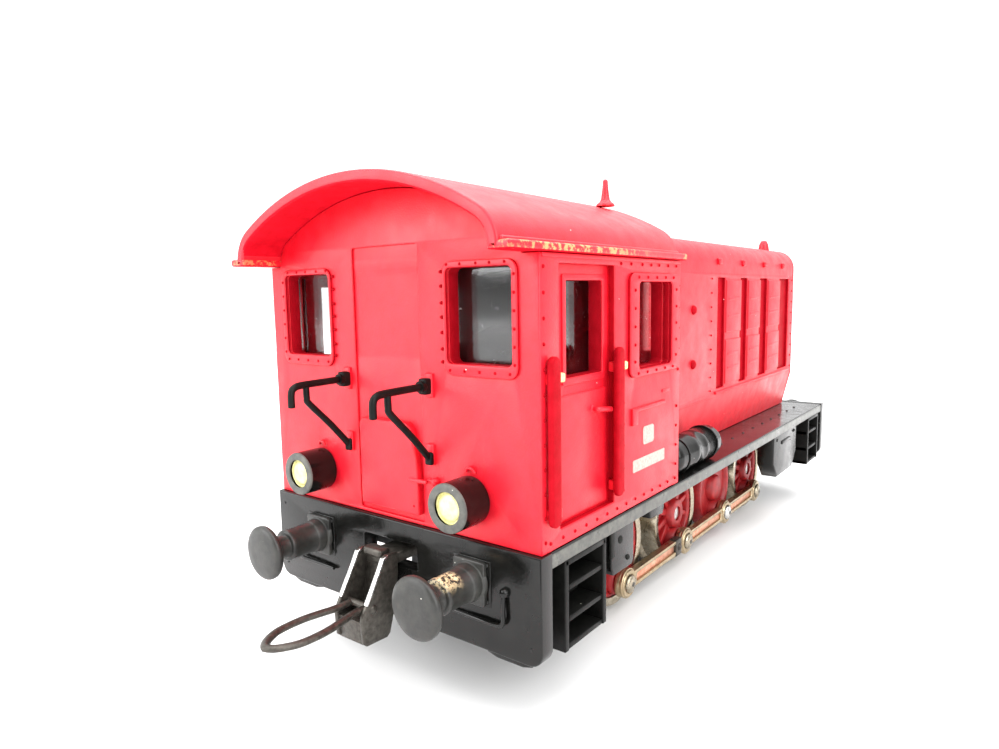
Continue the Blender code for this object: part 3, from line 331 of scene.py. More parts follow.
def add_data(shape, data, matrix, slot=None):
    """Adds a mesh to a shape; without a slot its faces keep their own."""
    data.transform(matrix)
    first = len(shape.faces)
    shape.from_mesh(data)
    bpy.data.meshes.remove(data)
    if slot is not None:
        shape.faces.ensure_lookup_table()
        for face in shape.faces[first:]:
            face.material_index = slot


def add_shape(shape, part, matrix=IDENTITY, slot=None):
    data = bpy.data.meshes.new("step")
    part.to_mesh(data)
    part.free()
    add_data(shape, data, matrix, slot)


def block(shape, low, high, slot=0, bevel=0.1, segments=2, matrix=IDENTITY):
    """Box with rounded edges between two corners, given in any order."""
    part = bmesh.new()
    bmesh.ops.create_cube(part, size=1.0)
    size = [abs(b - a) for a, b in zip(low, high)]
    for vertex in part.verts:
        for axis in range(3):
            vertex.co[axis] = (low[axis] + high[axis]) / 2 + vertex.co[axis] * size[axis]
    bmesh.ops.bevel(part, geom=part.edges[:], offset=min(bevel, min(size) * 0.49), segments=segments,
                    profile=0.5, affect="EDGES", clamp_overlap=True)
    add_shape(shape, part, matrix, slot)


def turned(shape, profile, matrix, slot=0, sides=40):
    """Turned solid round local Z; profile is (radius, height) pairs, closed on the axis or on itself."""
    part = bmesh.new()
    rings = []
    for radius, height in profile:
        if radius < 1e-6:
            rings.append([part.verts.new((0, 0, height))])
        else:
            rings.append([part.verts.new((radius * math.cos(2 * math.pi * i / sides),
                                          radius * math.sin(2 * math.pi * i / sides), height))
                          for i in range(sides)])
    pairs = list(zip(rings, rings[1:]))
    if profile[0][0] > 1e-6:
        pairs.append((rings[-1], rings[0]))
    for first, second in pairs:
        for i in range(sides):
            j = (i + 1) % sides
            if len(first) == 1:
                part.faces.new((first[0], second[i], second[j]))
            elif len(second) == 1:
                part.faces.new((first[i], second[0], first[j]))
            else:
                part.faces.new((first[i], second[i], second[j], first[j]))
    bmesh.ops.recalc_face_normals(part, faces=part.faces[:])
    add_shape(shape, part, matrix, slot)


def rod_mesh(points, closed, radius, detail=4):
    """Mesh of a round rod along straight steps."""
    curve = bpy.data.curves.new("step", "CURVE")
    curve.dimensions = "3D"
    curve.bevel_depth = radius
    curve.bevel_resolution = detail
    curve.use_fill_caps = not closed
    spline = curve.splines.new("POLY")
    spline.points.add(len(points) - 1)
    for point, spot in zip(spline.points, points):
        point.co = (*spot, 1)
    spline.use_cyclic_u = closed
    drawn = bpy.data.objects.new("step", curve)
    bpy.context.scene.collection.objects.link(drawn)
    bpy.context.view_layer.update()
    data = bpy.data.meshes.new_from_object(drawn.evaluated_get(bpy.context.evaluated_depsgraph_get()))
    bpy.data.objects.remove(drawn, do_unlink=True)
    bpy.data.curves.remove(curve)
    part = bmesh.new()
    part.from_mesh(data)
    bmesh.ops.remove_doubles(part, verts=part.verts, dist=0.002)
    bmesh.ops.dissolve_degenerate(part, edges=part.edges, dist=0.0005)
    bmesh.ops.recalc_face_normals(part, faces=part.faces[:])
    part.to_mesh(data)
    part.free()
    return data


def tidy_loop(outline, anticlockwise):
    """Outline without doubled points, running the asked way round."""
    points = []
    for point in outline:
        spot = Vector(point[:2])
        if not points or (spot - points[-1]).length > 1e-4:
            points.append(spot)
    if (points[0] - points[-1]).length < 1e-4:
        points.pop()
    area = sum(a.x * b.y - b.x * a.y for a, b in zip(points, points[1:] + points[:1]))
    return points if (area > 0) == anticlockwise else points[::-1]


def inset_loop(points, distance):
    """Outline moved to the left of its own direction, corners mitred."""
    moved = []
    for before, here, after in zip(points[-1:] + points[:-1], points, points[1:] + points[:1]):
        first = (here - before).normalized()
        second = (after - here).normalized()
        lean = Vector((-first.y - second.y, first.x + second.x))
        moved.append(here + lean * (distance / max(0.3, 1.0 + first.dot(second))))
    return moved


def plate(shape, outlines, low, high, matrix, slot=0, bevel=0.08, steps=2, edge_slot=None):
    """Flat plate with rounded rims between two local heights: an outline in local XY, then holes.

    Outlines may run either way round. The straight part of the edges takes edge_slot where given.
    """
    low, high = min(low, high), max(low, high)
    rim = min(bevel, (high - low) * 0.49)
    profile = []
    for step in range(steps + 1):
        angle = math.pi / 2 * step / steps
        profile.append((rim * (1 - math.sin(angle)), rim * (1 - math.cos(angle))))
    levels = [(inset, low + up) for inset, up in profile]
    levels += [(inset, high - up) for inset, up in reversed(profile)]
    part = bmesh.new()
    foot, top = [], []
    for index, outline in enumerate(outlines):
        points = tidy_loop(outline, index == 0)
        rings = []
        for inset, up in levels:
            rings.append([part.verts.new((x, y, up)) for x, y in inset_loop(points, inset)])
        for level, (first, second) in enumerate(zip(rings, rings[1:])):
            straight = level == steps and edge_slot is not None
            for i in range(len(points)):
                j = (i + 1) % len(points)
                face = part.faces.new((first[i], first[j], second[j], second[i]))
                face.material_index = edge_slot if straight else slot
        foot.append(rings[0])
        top.append(rings[-1])
    triangles = tessellate_polygon([[vertex.co for vertex in ring] for ring in foot])
    for rings, turn in ((foot, -1), (top, 1)):
        corners = [vertex for ring in rings for vertex in ring]
        for triangle in triangles:
            a, b, c = (corners[i] for i in triangle)
            area = (b.co - a.co).cross(c.co - a.co).z
            if abs(area) > 1e-9:
                face = part.faces.new((a, b, c) if area * turn > 0 else (a, c, b))
                face.material_index = slot
    add_shape(shape, part, matrix)


def tube(shape, points, radius, slot=0, closed=False, detail=4):
    add_data(shape, rod_mesh(points, closed, radius, detail), IDENTITY, slot)


def dome(shape, matrix, radius, height, slot=0, sides=10):
    """Rivet head standing on local Z 0."""
    turned(shape, [(0, height), (radius * 0.55, height * 0.86), (radius * 0.9, height * 0.42),
                   (radius, 0), (radius, -0.1), (0, -0.1)], matrix, slot, sides)


# by default the heads take slot 3, the cab's darker red: painted shade on the rivets
def rivets(shape, places, along, radius=0.2, height=0.14, slot=3):
    for origin in places:
        dome(shape, place(origin, along), radius, height, slot)


def arc(centre, radius, start, end, steps):
    points = []
    for index in range(steps + 1):
        angle = math.radians(start + (end - start) * index / steps)
        points.append((centre[0] + radius * math.cos(angle), centre[1] + radius * math.sin(angle)))
    return points


def circle(centre, radius, sides=40):
    return arc(centre, radius, 0, 360 - 360 / sides, sides - 1)


SHARP = 0.11     # corners rounder than this are drawn as arcs


def rounded(low, high, radius, steps=5):
    """Rectangle outline with rounded corners, anticlockwise."""
    x0, x1 = sorted((low[0], high[0]))
    y0, y1 = sorted((low[1], high[1]))
    if radius < SHARP:
        return [(x0, y0), (x1, y0), (x1, y1), (x0, y1)]
    points = arc((x1 - radius, y0 + radius), radius, -90, 0, steps)
    points += arc((x1 - radius, y1 - radius), radius, 0, 90, steps)
    points += arc((x0 + radius, y1 - radius), radius, 90, 180, steps)
    points += arc((x0 + radius, y0 + radius), radius, 180, 270, steps)
    return points


def smooth_path(points, steps=6):
    """Catmull-Rom points through open control points."""
    found = []
    ends = [points[0]] + list(points) + [points[-1]]
    for a, b, c, d in zip(ends, ends[1:], ends[2:], ends[3:]):
        for index in range(steps):
            t = index / steps
            found.append(tuple(0.5 * (2 * q + (r - p) * t + (2 * p - 5 * q + 4 * r - s) * t * t
                                      + (3 * q - p - 3 * r + s) * t ** 3)
                               for p, q, r, s in zip(a, b, c, d)))
    found.append(tuple(points[-1]))
    return found


def mirrored(points):
    """The other half of an outline, in the order that closes it."""
    return [(-across, up) for across, up in reversed(points)]


def flipped(outline, side):
    return [(side * across, up) for across, up in outline]


SHADE_ANGLE = 47      # edges sharper than this stay crisp, in degrees


def emit(name, shape, materials, body, nodes=()):
    """Makes a piece of a shape in millimetres, standing for some CAD nodes of one body."""
    bmesh.ops.scale(shape, vec=(MM, MM, MM), verts=shape.verts)
    data = bpy.data.meshes.new(name)
    shape.to_mesh(data)
    shape.free()
    for material in materials:
        data.materials.append(material)
    data.shade_smooth()
    data.set_sharp_from_angle(angle=math.radians(SHADE_ANGLE))
    piece = bpy.data.objects.new(name, data)
    bpy.context.scene.collection.objects.link(piece)
    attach(piece, body)
    if nodes:
        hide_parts(*nodes)
    return piece


# ---------------------------------------------------------------- places taken from the frame

CAB_LOW, CAB_HIGH = box_mm("cab_shell")
ROOF_LOW, ROOF_HIGH = box_mm("cab_roof")
HOOD_LOW, HOOD_HIGH = box_mm("hood_shell")
DECK_HIGH = box_mm("frame_deck")[1]
CAB_REAR, CAB_FRONT = CAB_LOW[0], CAB_HIGH[0]
CAB_FOOT = CAB_LOW[2]
CAB_SIDE = 17.0
SIDE_WALL = 2.1
END_WALL = 1.5
EAVES = 39.98
BEAM_FACE = DECK_HIGH[0]
DECK_TOP = 16.1
DECK_UNDER = 14.9
FRAME_HALF = DECK_HIGH[1]
AXLE_Z = 7.2
AXLES = {"rear": -20.0, "middle": -3.3, "front": 25.4}
JACKSHAFT_X = 11.6
THROW = 3.5
BUFFER_Y, BUFFER_Z = 10.05, 12.75
LAMP_Z = 19.6
LAMP_Y = {REAR: 9.8, FRONT: 8.2}
LAMP_WALL = {REAR: CAB_REAR, FRONT: HOOD_HIGH[0]}


# ---------------------------------------------------------------- roof

ROOF_RADIUS = 29.0
ROOF_SHOULDER = 3.6
ROOF_SIDE = 16.45


def roof_section(inset, crown_steps=22, shoulder_steps=10):
    """Half of the roof's arch, apex first, moved in by inset."""
    centre_z = ROOF_HIGH[2] - ROOF_RADIUS
    shoulder_y = ROOF_SIDE - ROOF_SHOULDER
    shoulder_z = centre_z + math.sqrt((ROOF_RADIUS - ROOF_SHOULDER) ** 2 - shoulder_y ** 2)
    joint = math.degrees(math.atan2(shoulder_z - centre_z, shoulder_y))
    points = arc((0, centre_z), ROOF_RADIUS - inset, 90, joint, crown_steps)
    points += arc((shoulder_y, shoulder_z), ROOF_SHOULDER - inset, joint, 0, shoulder_steps)[1:]
    return points


def make_roof():
    shape = bmesh.new()
    outer, inner = roof_section(0.0), roof_section(1.0)
    foot = ROOF_LOW[2] + 0.15
    half = outer + [(ROOF_SIDE, foot)]
    inside = [(inner[-1][0], foot)] + list(reversed(inner))
    outline = half + inside + mirrored(inside)[1:] + mirrored(half)[:-1]
    plate(shape, [outline], ROOF_LOW[0], ROOF_HIGH[0], place(along="x"), bevel=0.26, steps=4)
    for side in (RIGHT, LEFT):
        # drip strip along the eaves, its ends rounded off
        block(shape, (ROOF_LOW[0] + 0.05, side * (ROOF_SIDE - 1.1), ROOF_LOW[2]),
              (ROOF_HIGH[0], side * ROOF_HIGH[1], ROOF_LOW[2] + 0.68), 1, 0.2, 3)
        # fillet between the drip strip and the arch
        block(shape, (ROOF_LOW[0] + 0.3, side * (ROOF_SIDE - 0.6), ROOF_LOW[2] + 0.4),
              (ROOF_HIGH[0] - 0.2, side * (ROOF_SIDE + 0.22), ROOF_LOW[2] + 1.0), 0, 0.2, 3)
    # faces turned downwards take the darker soffit red: painted shade under the roof
    shape.normal_update()
    for face in shape.faces:
        if face.normal.z < -0.3:
            face.material_index = 2
    emit("roof_panel", shape, [RED_ROOF, RED_GUTTER, RED_SOFFIT_PAINTED_SHADE], "chassis", ("cab_roof",))


def make_horn():
    low, high = box_mm("horn")
    x, y = (low[0] + high[0]) / 2, (low[1] + high[1]) / 2
    shape = bmesh.new()
    top = high[2] - low[2]
    profile = [(0, top), (0.16, top - 0.03), (0.27, top - 0.2), (0.31, top - 0.9), (0.40, 1.25),
               (0.48, 0.72), (0.66, 0.42), (0.95, 0.22), (1.0, 0.06), (1.0, 0), (0, 0)]
    turned(shape, profile, place((x, y, low[2])), sides=28)
    emit("horn_body", shape, [RED_ROOF], "chassis", ("horn",))


# ---------------------------------------------------------------- cab

END_WINDOW = ((7.6, 31.1), (14.5, 39.1))
FRONT_WINDOW = ((13.0, 30.5), (15.2, 38.0))
DOOR = ((-42.5, 17.6), (-33.3, 39.2))
DOOR_WINDOW = ((-40.45, 29.8), (-34.4, 37.9))
SIDE_WINDOW = ((-29.1, 29.5), (-21.6, 37.8))
END_DOOR_HALF = 4.25
END_DOOR_TOP = 41.35
LAMP_BORE = 1.55
BRACKET_Y, BRACKET_Z = 5.35, 29.05
END_SKIN = 0.22     # outer layer of the end wall
SIDE_SKIN = 0.8     # outer layer of the side walls, with the doors' openings in it
TUCK = 0.03         # how far a panel's edge lies under the face it meets
RAIL_X = (-44.1, -33.45)
RAIL_HALF = 0.66
RAIL_LOW, RAIL_HIGH = 18.3, 32.0


def end_wall_outline():
    arch = [p for p in roof_section(1.06) if p[1] > EAVES]
    side = CAB_SIDE - TUCK
    half = arch + [(arch[-1][0], EAVES), (side, EAVES), (side, CAB_FOOT)]
    return half + mirrored(half)[:-1]


def rear_wall(shape):
    windows = [flipped(rounded(*END_WINDOW, 0.55), side) for side in (RIGHT, LEFT)]
    bores = [circle((side * LAMP_Y[REAR], LAMP_Z), LAMP_BORE) for side in (RIGHT, LEFT)]
    door = rounded((-END_DOOR_HALF, CAB_FOOT + 0.35), (END_DOOR_HALF, END_DOOR_TOP), 0.25)
    at = place(along="x")
    # the straight edges of the openings take slot 3, the darker red: painted shade in the reveals
    plate(shape, [end_wall_outline()] + windows + bores + [door], CAB_REAR, CAB_REAR + END_SKIN, at,
          bevel=0.09, edge_slot=3)
    plate(shape, [end_wall_outline()] + windows + bores, CAB_REAR + END_SKIN, CAB_REAR + END_WALL, at,
          bevel=0.03, edge_slot=3)
    for side in (RIGHT, LEFT):
        window_frame(shape, END_WINDOW, ((7.3, 30.1), (15.05, 39.62)), CAB_REAR, side)
    hatch(shape)
    # eyelets over the lamps and stubs behind the rail brackets
    for side in (RIGHT, LEFT):
        y = side * LAMP_Y[REAR] - 0.1
        ring = []
        for k in range(11):
            a = math.pi * k / 10
            ring.append((CAB_REAR - 0.16 - 0.08 * math.sin(a), y + 0.42 * math.cos(a),
                         LAMP_Z + 2.42 + 0.36 * math.sin(a)))
        tube(shape, ring, 0.13)
        block(shape, (CAB_REAR - 0.3, side * 4.95, 28.0), (CAB_REAR + 0.1, side * 5.85, 30.15), 0, 0.12)
        block(shape, (CAB_REAR - 0.3, side * 4.9, 22.0), (CAB_REAR + 0.1, side * 5.75, 23.9), 0, 0.12)


def hatch(shape):
    """Low raised door between the lamps, with its hinge strip and catch."""
    top = 25.5
    outline = [(3.6, 17.2), (3.6, top - 0.5), (3.1, top), (-2.6, top), (-3.15, top - 0.45), (-3.5, 23.6),
               (-3.85, 22.4), (-3.95, 20.3), (-3.95, 17.2)]
    plate(shape, [outline], CAB_REAR - 0.48, CAB_REAR + 0.3, place(along="x"), bevel=0.16, steps=3)
    block(shape, (CAB_REAR - 0.62, -5.1, 20.25), (CAB_REAR - 0.3, -2.9, 20.6), 0, 0.12)
    turned(shape, [(0, 0.62), (0.2, 0.6), (0.36, 0.42), (0.36, 0), (0, 0)],
           place((CAB_REAR, -5.9, 20.6), "-x"), sides=14)
    block(shape, (CAB_REAR - 0.3, -5.8, 20.38), (CAB_REAR + 0.1, -4.9, 20.7), 0, 0.1)
    rivets(shape, [(CAB_REAR - 0.44, -3.2, 24.6), (CAB_REAR - 0.44, -3.4, 18.0)], "-x", 0.13, 0.1)


def window_frame(shape, opening, outer, wall, side):
    """Raised rim of an end window and its rivets."""
    rim = 0.26
    outlines = [flipped(rounded(*outer, 0.95), side), flipped(rounded(*opening, 0.5), side)]
    # the rim's straight edges take the darker red: painted shade
    plate(shape, outlines, wall - rim, wall + 0.15, place(along="x"), bevel=0.11, steps=3, edge_slot=3)
    spots = [(y, 39.36) for y in (7.84, 9.3, 11.0, 12.4, 13.9)]
    spots += [(y, 30.55) for y in (8.0, 9.6, 11.2, 12.8, 14.3)]
    spots += [(14.78, 38.4 - 1.42 * k) for k in range(6)]
    rivets(shape, [(wall - rim + 0.02, side * y, z) for y, z in spots], "-x", 0.15, 0.12)
    inner_row = (38.8, 37.6, 36.2, 35.0, 33.7, 32.3, 31.2)
    rivets(shape, [(wall, side * 7.02, z) for z in inner_row], "-x", 0.17, 0.26)


def side_wall(shape, side):
    out = outwards(side)
    at = place(along=out)

    def rect(low, high, radius):
        """Outline in the wall's own plane, whose X runs forwards on the right side only."""
        return flipped(rounded(low, high, radius), -side)

    def applied(outline, height, slot=0, bevel=0.1):
        """Thin plate standing on the wall's face."""
        plate(shape, [outline], CAB_SIDE - 0.1, CAB_SIDE + height, at, slot, bevel)

    wall = rect((CAB_REAR + TUCK, CAB_FOOT), (CAB_FRONT - TUCK, EAVES - TUCK), 0)
    door, door_window = rect(*DOOR, 0.15), rect(*DOOR_WINDOW, 0.12)
    window = rect(*SIDE_WINDOW, 0.5)
    back = CAB_SIDE - SIDE_SKIN
    # straight edges of the openings and door recess take slot 3, the darker red: painted shade in the reveals
    plate(shape, [wall, door, window], back, CAB_SIDE, at, bevel=0.12, edge_slot=3)
    plate(shape, [wall, door_window, window], CAB_SIDE - SIDE_WALL, back, at, bevel=0.03, edge_slot=3)
    # door: lower panel a little proud of the upper one, window rim, handle
    low_panel = rect((DOOR[0][0] + 0.2, DOOR[0][1] + 0.2), (DOOR[1][0] - 0.5, 28.4), 0.15)
    plate(shape, [low_panel], back - 0.1, back + 0.18, at, bevel=0.08)
    rim = [rect((-40.95, 29.2), (-33.95, 38.4), 0.2), door_window]
    plate(shape, rim, back - 0.1, back + 0.14, at, bevel=0.06)
    y = side * CAB_SIDE
    tube(shape, smooth_path([(-36.1, y - side * 0.75, 26.7), (-36.1, y - side * 0.15, 26.65),
                             (-35.5, y - side * 0.02, 26.6), (-34.0, y - side * 0.02, 26.4)]), 0.24)
    dome(shape, place((-36.1, y - side * 0.8, 26.7), out), 0.5, 0.3, 0, 16)
    # window frame
    frame_outer = rect((-30.85, 28.8), (-19.9, 38.6), 0.9)
    plate(shape, [frame_outer, window], CAB_SIDE - 0.2, CAB_SIDE + 0.36, at, bevel=0.13, steps=3,
          edge_slot=3)
    ring = [(x, z) for x in (-29.3, -27.4, -25.4, -23.4, -21.5) for z in (38.2, 29.15)]
    ring += [(x, z) for z in (37.0, 35.3, 33.6, 31.9, 30.3) for x in (-30.0, -20.75)]
    rivets(shape, [(x, y + side * 0.35, z) for x, z in ring], out, 0.17, 0.13)
    # rivets of the wall itself
    rows = [(x, 39.4) for x in (-32.2, -30.2, -27.9, -26.0, -24.2, -22.1, -20.1)]
    rows += [(-19.35, z) for z in (37.4, 35.1, 33.0, 30.8, 28.6)]
    rows += [(-31.6, z) for z in (26.6, 24.6, 22.6, 20.4, 18.3)]
    rows += [(-19.7, z) for z in (24.7, 22.6, 20.5, 18.4)]
    rows += [(-44.72, 38.9 - 1.98 * k) for k in range(12)]
    rows += [(-44.0 + 1.86 * k, 16.85) for k in range(14)]
    rivets(shape, [(x, y, z) for x, z in rows], out, 0.17, 0.13)
    # step strip, small bar, and two blank marking plates
    strip = [(-30.15, 24.2), (-29.1, 24.2), (-29.1, 25.45), (-22.9, 25.45), (-22.9, 25.8), (-30.15, 25.8)]
    applied(flipped(strip, -side), 0.3)
    applied(rect((-23.3, 26.55), (-21.6, 26.9), 0.12), 0.1, bevel=0.05)
    applied(rect((-27.6, 21.9), (-25.2, 23.7), 0.35), 0.07, 1, 0.03)
    applied(rect((-29.7, 19.5), (-22.6, 20.7), 0.15), 0.05, 1, 0.03)
    for x in RAIL_X:
        handrail(shape, side, x)
    # eaves strip under the drip rail
    block(shape, (CAB_REAR + 0.3, y - side * 0.3, 39.62),
          (CAB_FRONT - 0.3, y + side * 0.12, EAVES), 0, 0.08)


def handrail(shape, side, x):
    """Flat upright grip with rounded ends, on two stub brackets, with a bare fleck by the upper one."""
    grip = rounded((x - RAIL_HALF, RAIL_LOW), (x + RAIL_HALF, RAIL_HIGH), RAIL_HALF * 0.96, 6)
    # the grip takes slot 3, the darker red: painted shade on the handrail
    plate(shape, [flipped(grip, -side)], 17.2, 17.8, place(along=outwards(side)), 3, 0.2, 3)
    for z in (19.3, 30.2):
        block(shape, (x - 0.42, side * 16.6, z - 0.45), (x + 1.1, side * 17.55, z + 0.45), 0, 0.14)
    block(shape, (x + 0.85, side * 16.95, 29.85), (x + 1.5, side * 17.66, 30.6), 2, 0.16)


def make_cab():
    shape = bmesh.new()
    rear_wall(shape)
    for side in (RIGHT, LEFT):
        side_wall(shape, side)
    # front wall, closed behind the bonnet but for the drive opening
    opening = rounded((-7.5, CAB_FOOT + 0.3), (7.5, 27.5), 0.3)
    windows = [flipped(rounded(*FRONT_WINDOW, 0.4), side) for side in (RIGHT, LEFT)]
    at = place(along="x")
    plate(shape, [end_wall_outline(), opening] + windows, CAB_FRONT - END_WALL, CAB_FRONT, at, bevel=0.1)
    for side, window in zip((RIGHT, LEFT), windows):
        ring = flipped(rounded((12.7, 30.1), (15.6, 38.4), 0.6), side)
        plate(shape, [ring, window], CAB_FRONT - 0.1, CAB_FRONT + 0.08, at, bevel=0.06)
    # slot 3 is the darker red for reveals, rivets and grips: painted shade
    emit("cab_body", shape, [RED, CREAM_PLATE, CREAM_CHIP, RED_PAINTED_SHADE], "chassis", ("cab_shell",))


def make_cab_lining():
    """The cab's dark floor, front lining and desk, seen through the windows."""
    shape = bmesh.new()
    front = CAB_FRONT - END_WALL - 0.05
    block(shape, (CAB_REAR + END_WALL + 1.3, -14.0, 27.6), (front, 14.0, 28.1))
    block(shape, (front - 0.4, -12.6, 28.1), (front, 12.6, 43.0))
    desk = [(front - 0.3, 28.0), (front - 5.2, 28.0), (front - 5.2, 30.2), (front - 4.0, 32.0),
            (front - 0.3, 33.0)]
    plate(shape, [desk], -7.0, 7.0, place(along="-y"), 0, 0.2)
    emit("cab_lining", shape, [BLACK_MATT], "chassis")


# ---------------------------------------------------------------- bonnet

HOOD_SIDE = 12.3
HOOD_FOOT = 10.9        # half-width at the running board
HOOD_KNEE = 22.0        # height where the skirt starts to draw in
HOOD_SKIN = 0.5
CROWN_LOW = 39.4
HOOD_RECESSES = ((4.9, 7.8), (14.1, 17.2), (23.1, 27.0), (33.6, 39.2))
RECESS_LOW, RECESS_HIGH = 23.2, 38.7


def hood_section(inset):
    """Outline of the bonnet from one foot over the crown to the other, moved in by inset."""
    radius = 3.2
    shoulder = arc((HOOD_SIDE - radius, 40.4), radius - inset, 0, 74, 9)
    edge_y, edge_z = shoulder[-1]
    apex = HOOD_LOW[2] + 28.34 - inset
    crown = [(edge_y * share, apex - (apex - edge_z) * share ** 2)
             for share in (0.85, 0.7, 0.55, 0.4, 0.25, 0.1)]
    half = [(HOOD_FOOT - inset, HOOD_LOW[2] - inset), (HOOD_SIDE - inset, HOOD_KNEE)] + shoulder + crown
    return half + [(0, apex)] + mirrored(half)


def crown_part(inset):
    """The top of the section, down to a little above the recesses."""
    points = [point for point in hood_section(inset) if point[1] > CROWN_LOW]
    side, low = HOOD_SIDE - inset, RECESS_HIGH + 0.5
    return [(side, low)] + points + [(-side, low)]


def make_hood():
    shape = bmesh.new()
    at = place(along="x")
    # an open arch lines the shell, and the crown and the flat side panels lie on it
    liner, within = ([(y, max(z, HOOD_LOW[2])) for y, z in hood_section(inset)]
                     for inset in (HOOD_SKIN, 2 * HOOD_SKIN))
    # the lining arch takes slot 1, the darker red: painted shade inside the bonnet
    plate(shape, [liner + within[::-1]], HOOD_LOW[0] + 0.02, HOOD_HIGH[0] - 0.6, at, 1, 0.1)
    crown = crown_part(0.0) + crown_part(HOOD_SKIN * 1.6)[::-1]
    plate(shape, [crown], HOOD_LOW[0], HOOD_HIGH[0] - 0.58, at, bevel=0.16, steps=3)
    for side in (RIGHT, LEFT):
        hood_side(shape, side)
    hood_front(shape)
    # filler cap, seams across the top, and lifting eyes
    turned(shape, [(0, 45.3), (0.3, 45.28), (0.5, 45.15), (0.58, 44.9), (0.75, 44.6), (0.8, 44.2),
                   (0.95, 43.4), (0.95, 42.5), (0, 42.5)], place((36.5, -8.6, 0)), sides=24)
    for x in (-9.0, 4.0, 17.0, 30.0):
        block(shape, (x - 0.09, -9.0, HOOD_HIGH[2] - 2.0), (x + 0.09, 9.0, 43.0), 0, 0.02)
    for x in (2.0, 21.0):
        tube(shape, [(x + dx, 0, 44.62 + 0.84 * up) for dx, up in arc((0, 0), 0.5, 0, 180, 8)], 0.14)
    # slot 1 is the darker red for the lining, recess sides, rivets and domes: painted shade
    emit("hood_body", shape, [RED, RED_PAINTED_SHADE], "chassis", ("hood_shell",))


def hood_side(shape, side):
    out = outwards(side)
    at = place(along=out)

    def rect(x0, z0, x1, z1, radius=0.12):
        return flipped(rounded((x0, z0), (x1, z1), radius, 3), -side)

    holes = [rect(x0, RECESS_LOW, x1, RECESS_HIGH - 0.1, 0.2) for x0, x1 in HOOD_RECESSES]
    panel = rect(HOOD_LOW[0], HOOD_KNEE, HOOD_HIGH[0] - 0.1, RECESS_HIGH + 0.9, 0)
    # the recesses' straight side walls take slot 1, the darker red: painted shade in the recesses
    plate(shape, [panel] + holes, HOOD_SIDE - 0.56, HOOD_SIDE - TUCK, at, bevel=0.1, edge_slot=1)
    # two raised panels between each pair of recesses, with two small bars on each
    edges = [x for pair in HOOD_RECESSES for x in pair]
    for x0, x1 in zip(edges[1::2], edges[2::2]):
        for z0, z1 in ((23.6, 29.9), (30.9, 38.3)):
            raised = rect(x0 + 0.1, z0, x1 - 0.1, z1)
            plate(shape, [raised], HOOD_SIDE - 0.3, HOOD_SIDE + 0.16, at, bevel=0.09)
        for z in (25.6, 27.6, 33.0, 35.4):
            bar = rect(x0 + 0.8, z, x1 - 0.8, z + 0.5, 0.2)
            plate(shape, [bar], HOOD_SIDE, HOOD_SIDE + 0.22, at, bevel=0.07)
    # ledge under the panels and the drawn-in skirt
    block(shape, (4.2, side * (HOOD_SIDE - 0.2), 22.5), (39.9, side * (HOOD_SIDE + 0.22), 22.9))
    skirt = [(HOOD_SIDE, 22.3), (HOOD_FOOT, HOOD_LOW[2]), (HOOD_FOOT - 0.6, HOOD_LOW[2]),
             (HOOD_SIDE - 0.6, 22.3)]
    plate(shape, [flipped(skirt, side)], HOOD_LOW[0], HOOD_HIGH[0], place(along="x"), bevel=0.05)
    y = side * HOOD_SIDE
    for x in (-3.7, -15.5):
        for z in (34.4, 27.4):
            dome(shape, place((x, y, z), out), 0.62, 0.42, 1, 18)
    for x in (5.0, 14.9, 24.9, 34.8):
        block(shape, (x - 0.55, y - side * 0.15, 40.3), (x + 0.55, y + side * 0.35, 41.2), 0, 0.16)
    rows = [(x, y, 23.2 + 1.9 * k) for x in (-17.4, 2.6, 41.0) for k in range(9)]
    rivets(shape, rows, out, 0.15, 0.1, 1)


def hood_front(shape):
    """Front plate with a slatted radiator between two columns of rivets."""
    face = HOOD_HIGH[0]
    at = place(along="x")
    section = hood_section(0.0)
    bores = [circle((side * LAMP_Y[FRONT], LAMP_Z), LAMP_BORE) for side in (RIGHT, LEFT)]
    grille = rounded((-8.5, 24.0), (8.5, 39.5), 0.5)
    plate(shape, [section, grille] + bores, face - 0.6, face, at, bevel=0.12)
    for k in range(13):
        z = 24.8 + 1.16 * k
        slat = [(face - 0.55, z), (face - 0.08, z + 0.32), (face - 0.08, z + 0.5), (face - 0.55, z + 0.8)]
        plate(shape, [slat], -8.6, 8.6, place(along="-y"), bevel=0.05)
    for y in (-4.3, 0.0, 4.3):
        block(shape, (face - 0.5, y - 0.3, 24.0), (face - 0.02, y + 0.3, 39.5), 0, 0.1)
    rows = [(side * 9.6, 24.2 + 1.6 * k) for side in (RIGHT, LEFT) for k in range(10)]
    rivets(shape, [(face, y, z) for y, z in rows], "x", 0.15, 0.1, 1)


# ---------------------------------------------------------------- frame, steps and tanks

BEAM_LOW = 6.8
BEAM_THICKNESS = 1.7
GUARD_LOW = 6.15
PIVOT_X = 40.0          # the couplers' pivots, from the middle
BAIL_HINGE = (9.6, 9.3)     # out from the pivot, and height


def beam_outline():
    corner = 1.3
    half = [(FRAME_HALF, DECK_HIGH[2]), (FRAME_HALF, BEAM_LOW + corner)]
    half += arc((FRAME_HALF - corner, BEAM_LOW + corner), corner, 0, -90, 6)
    return half + mirrored(half)


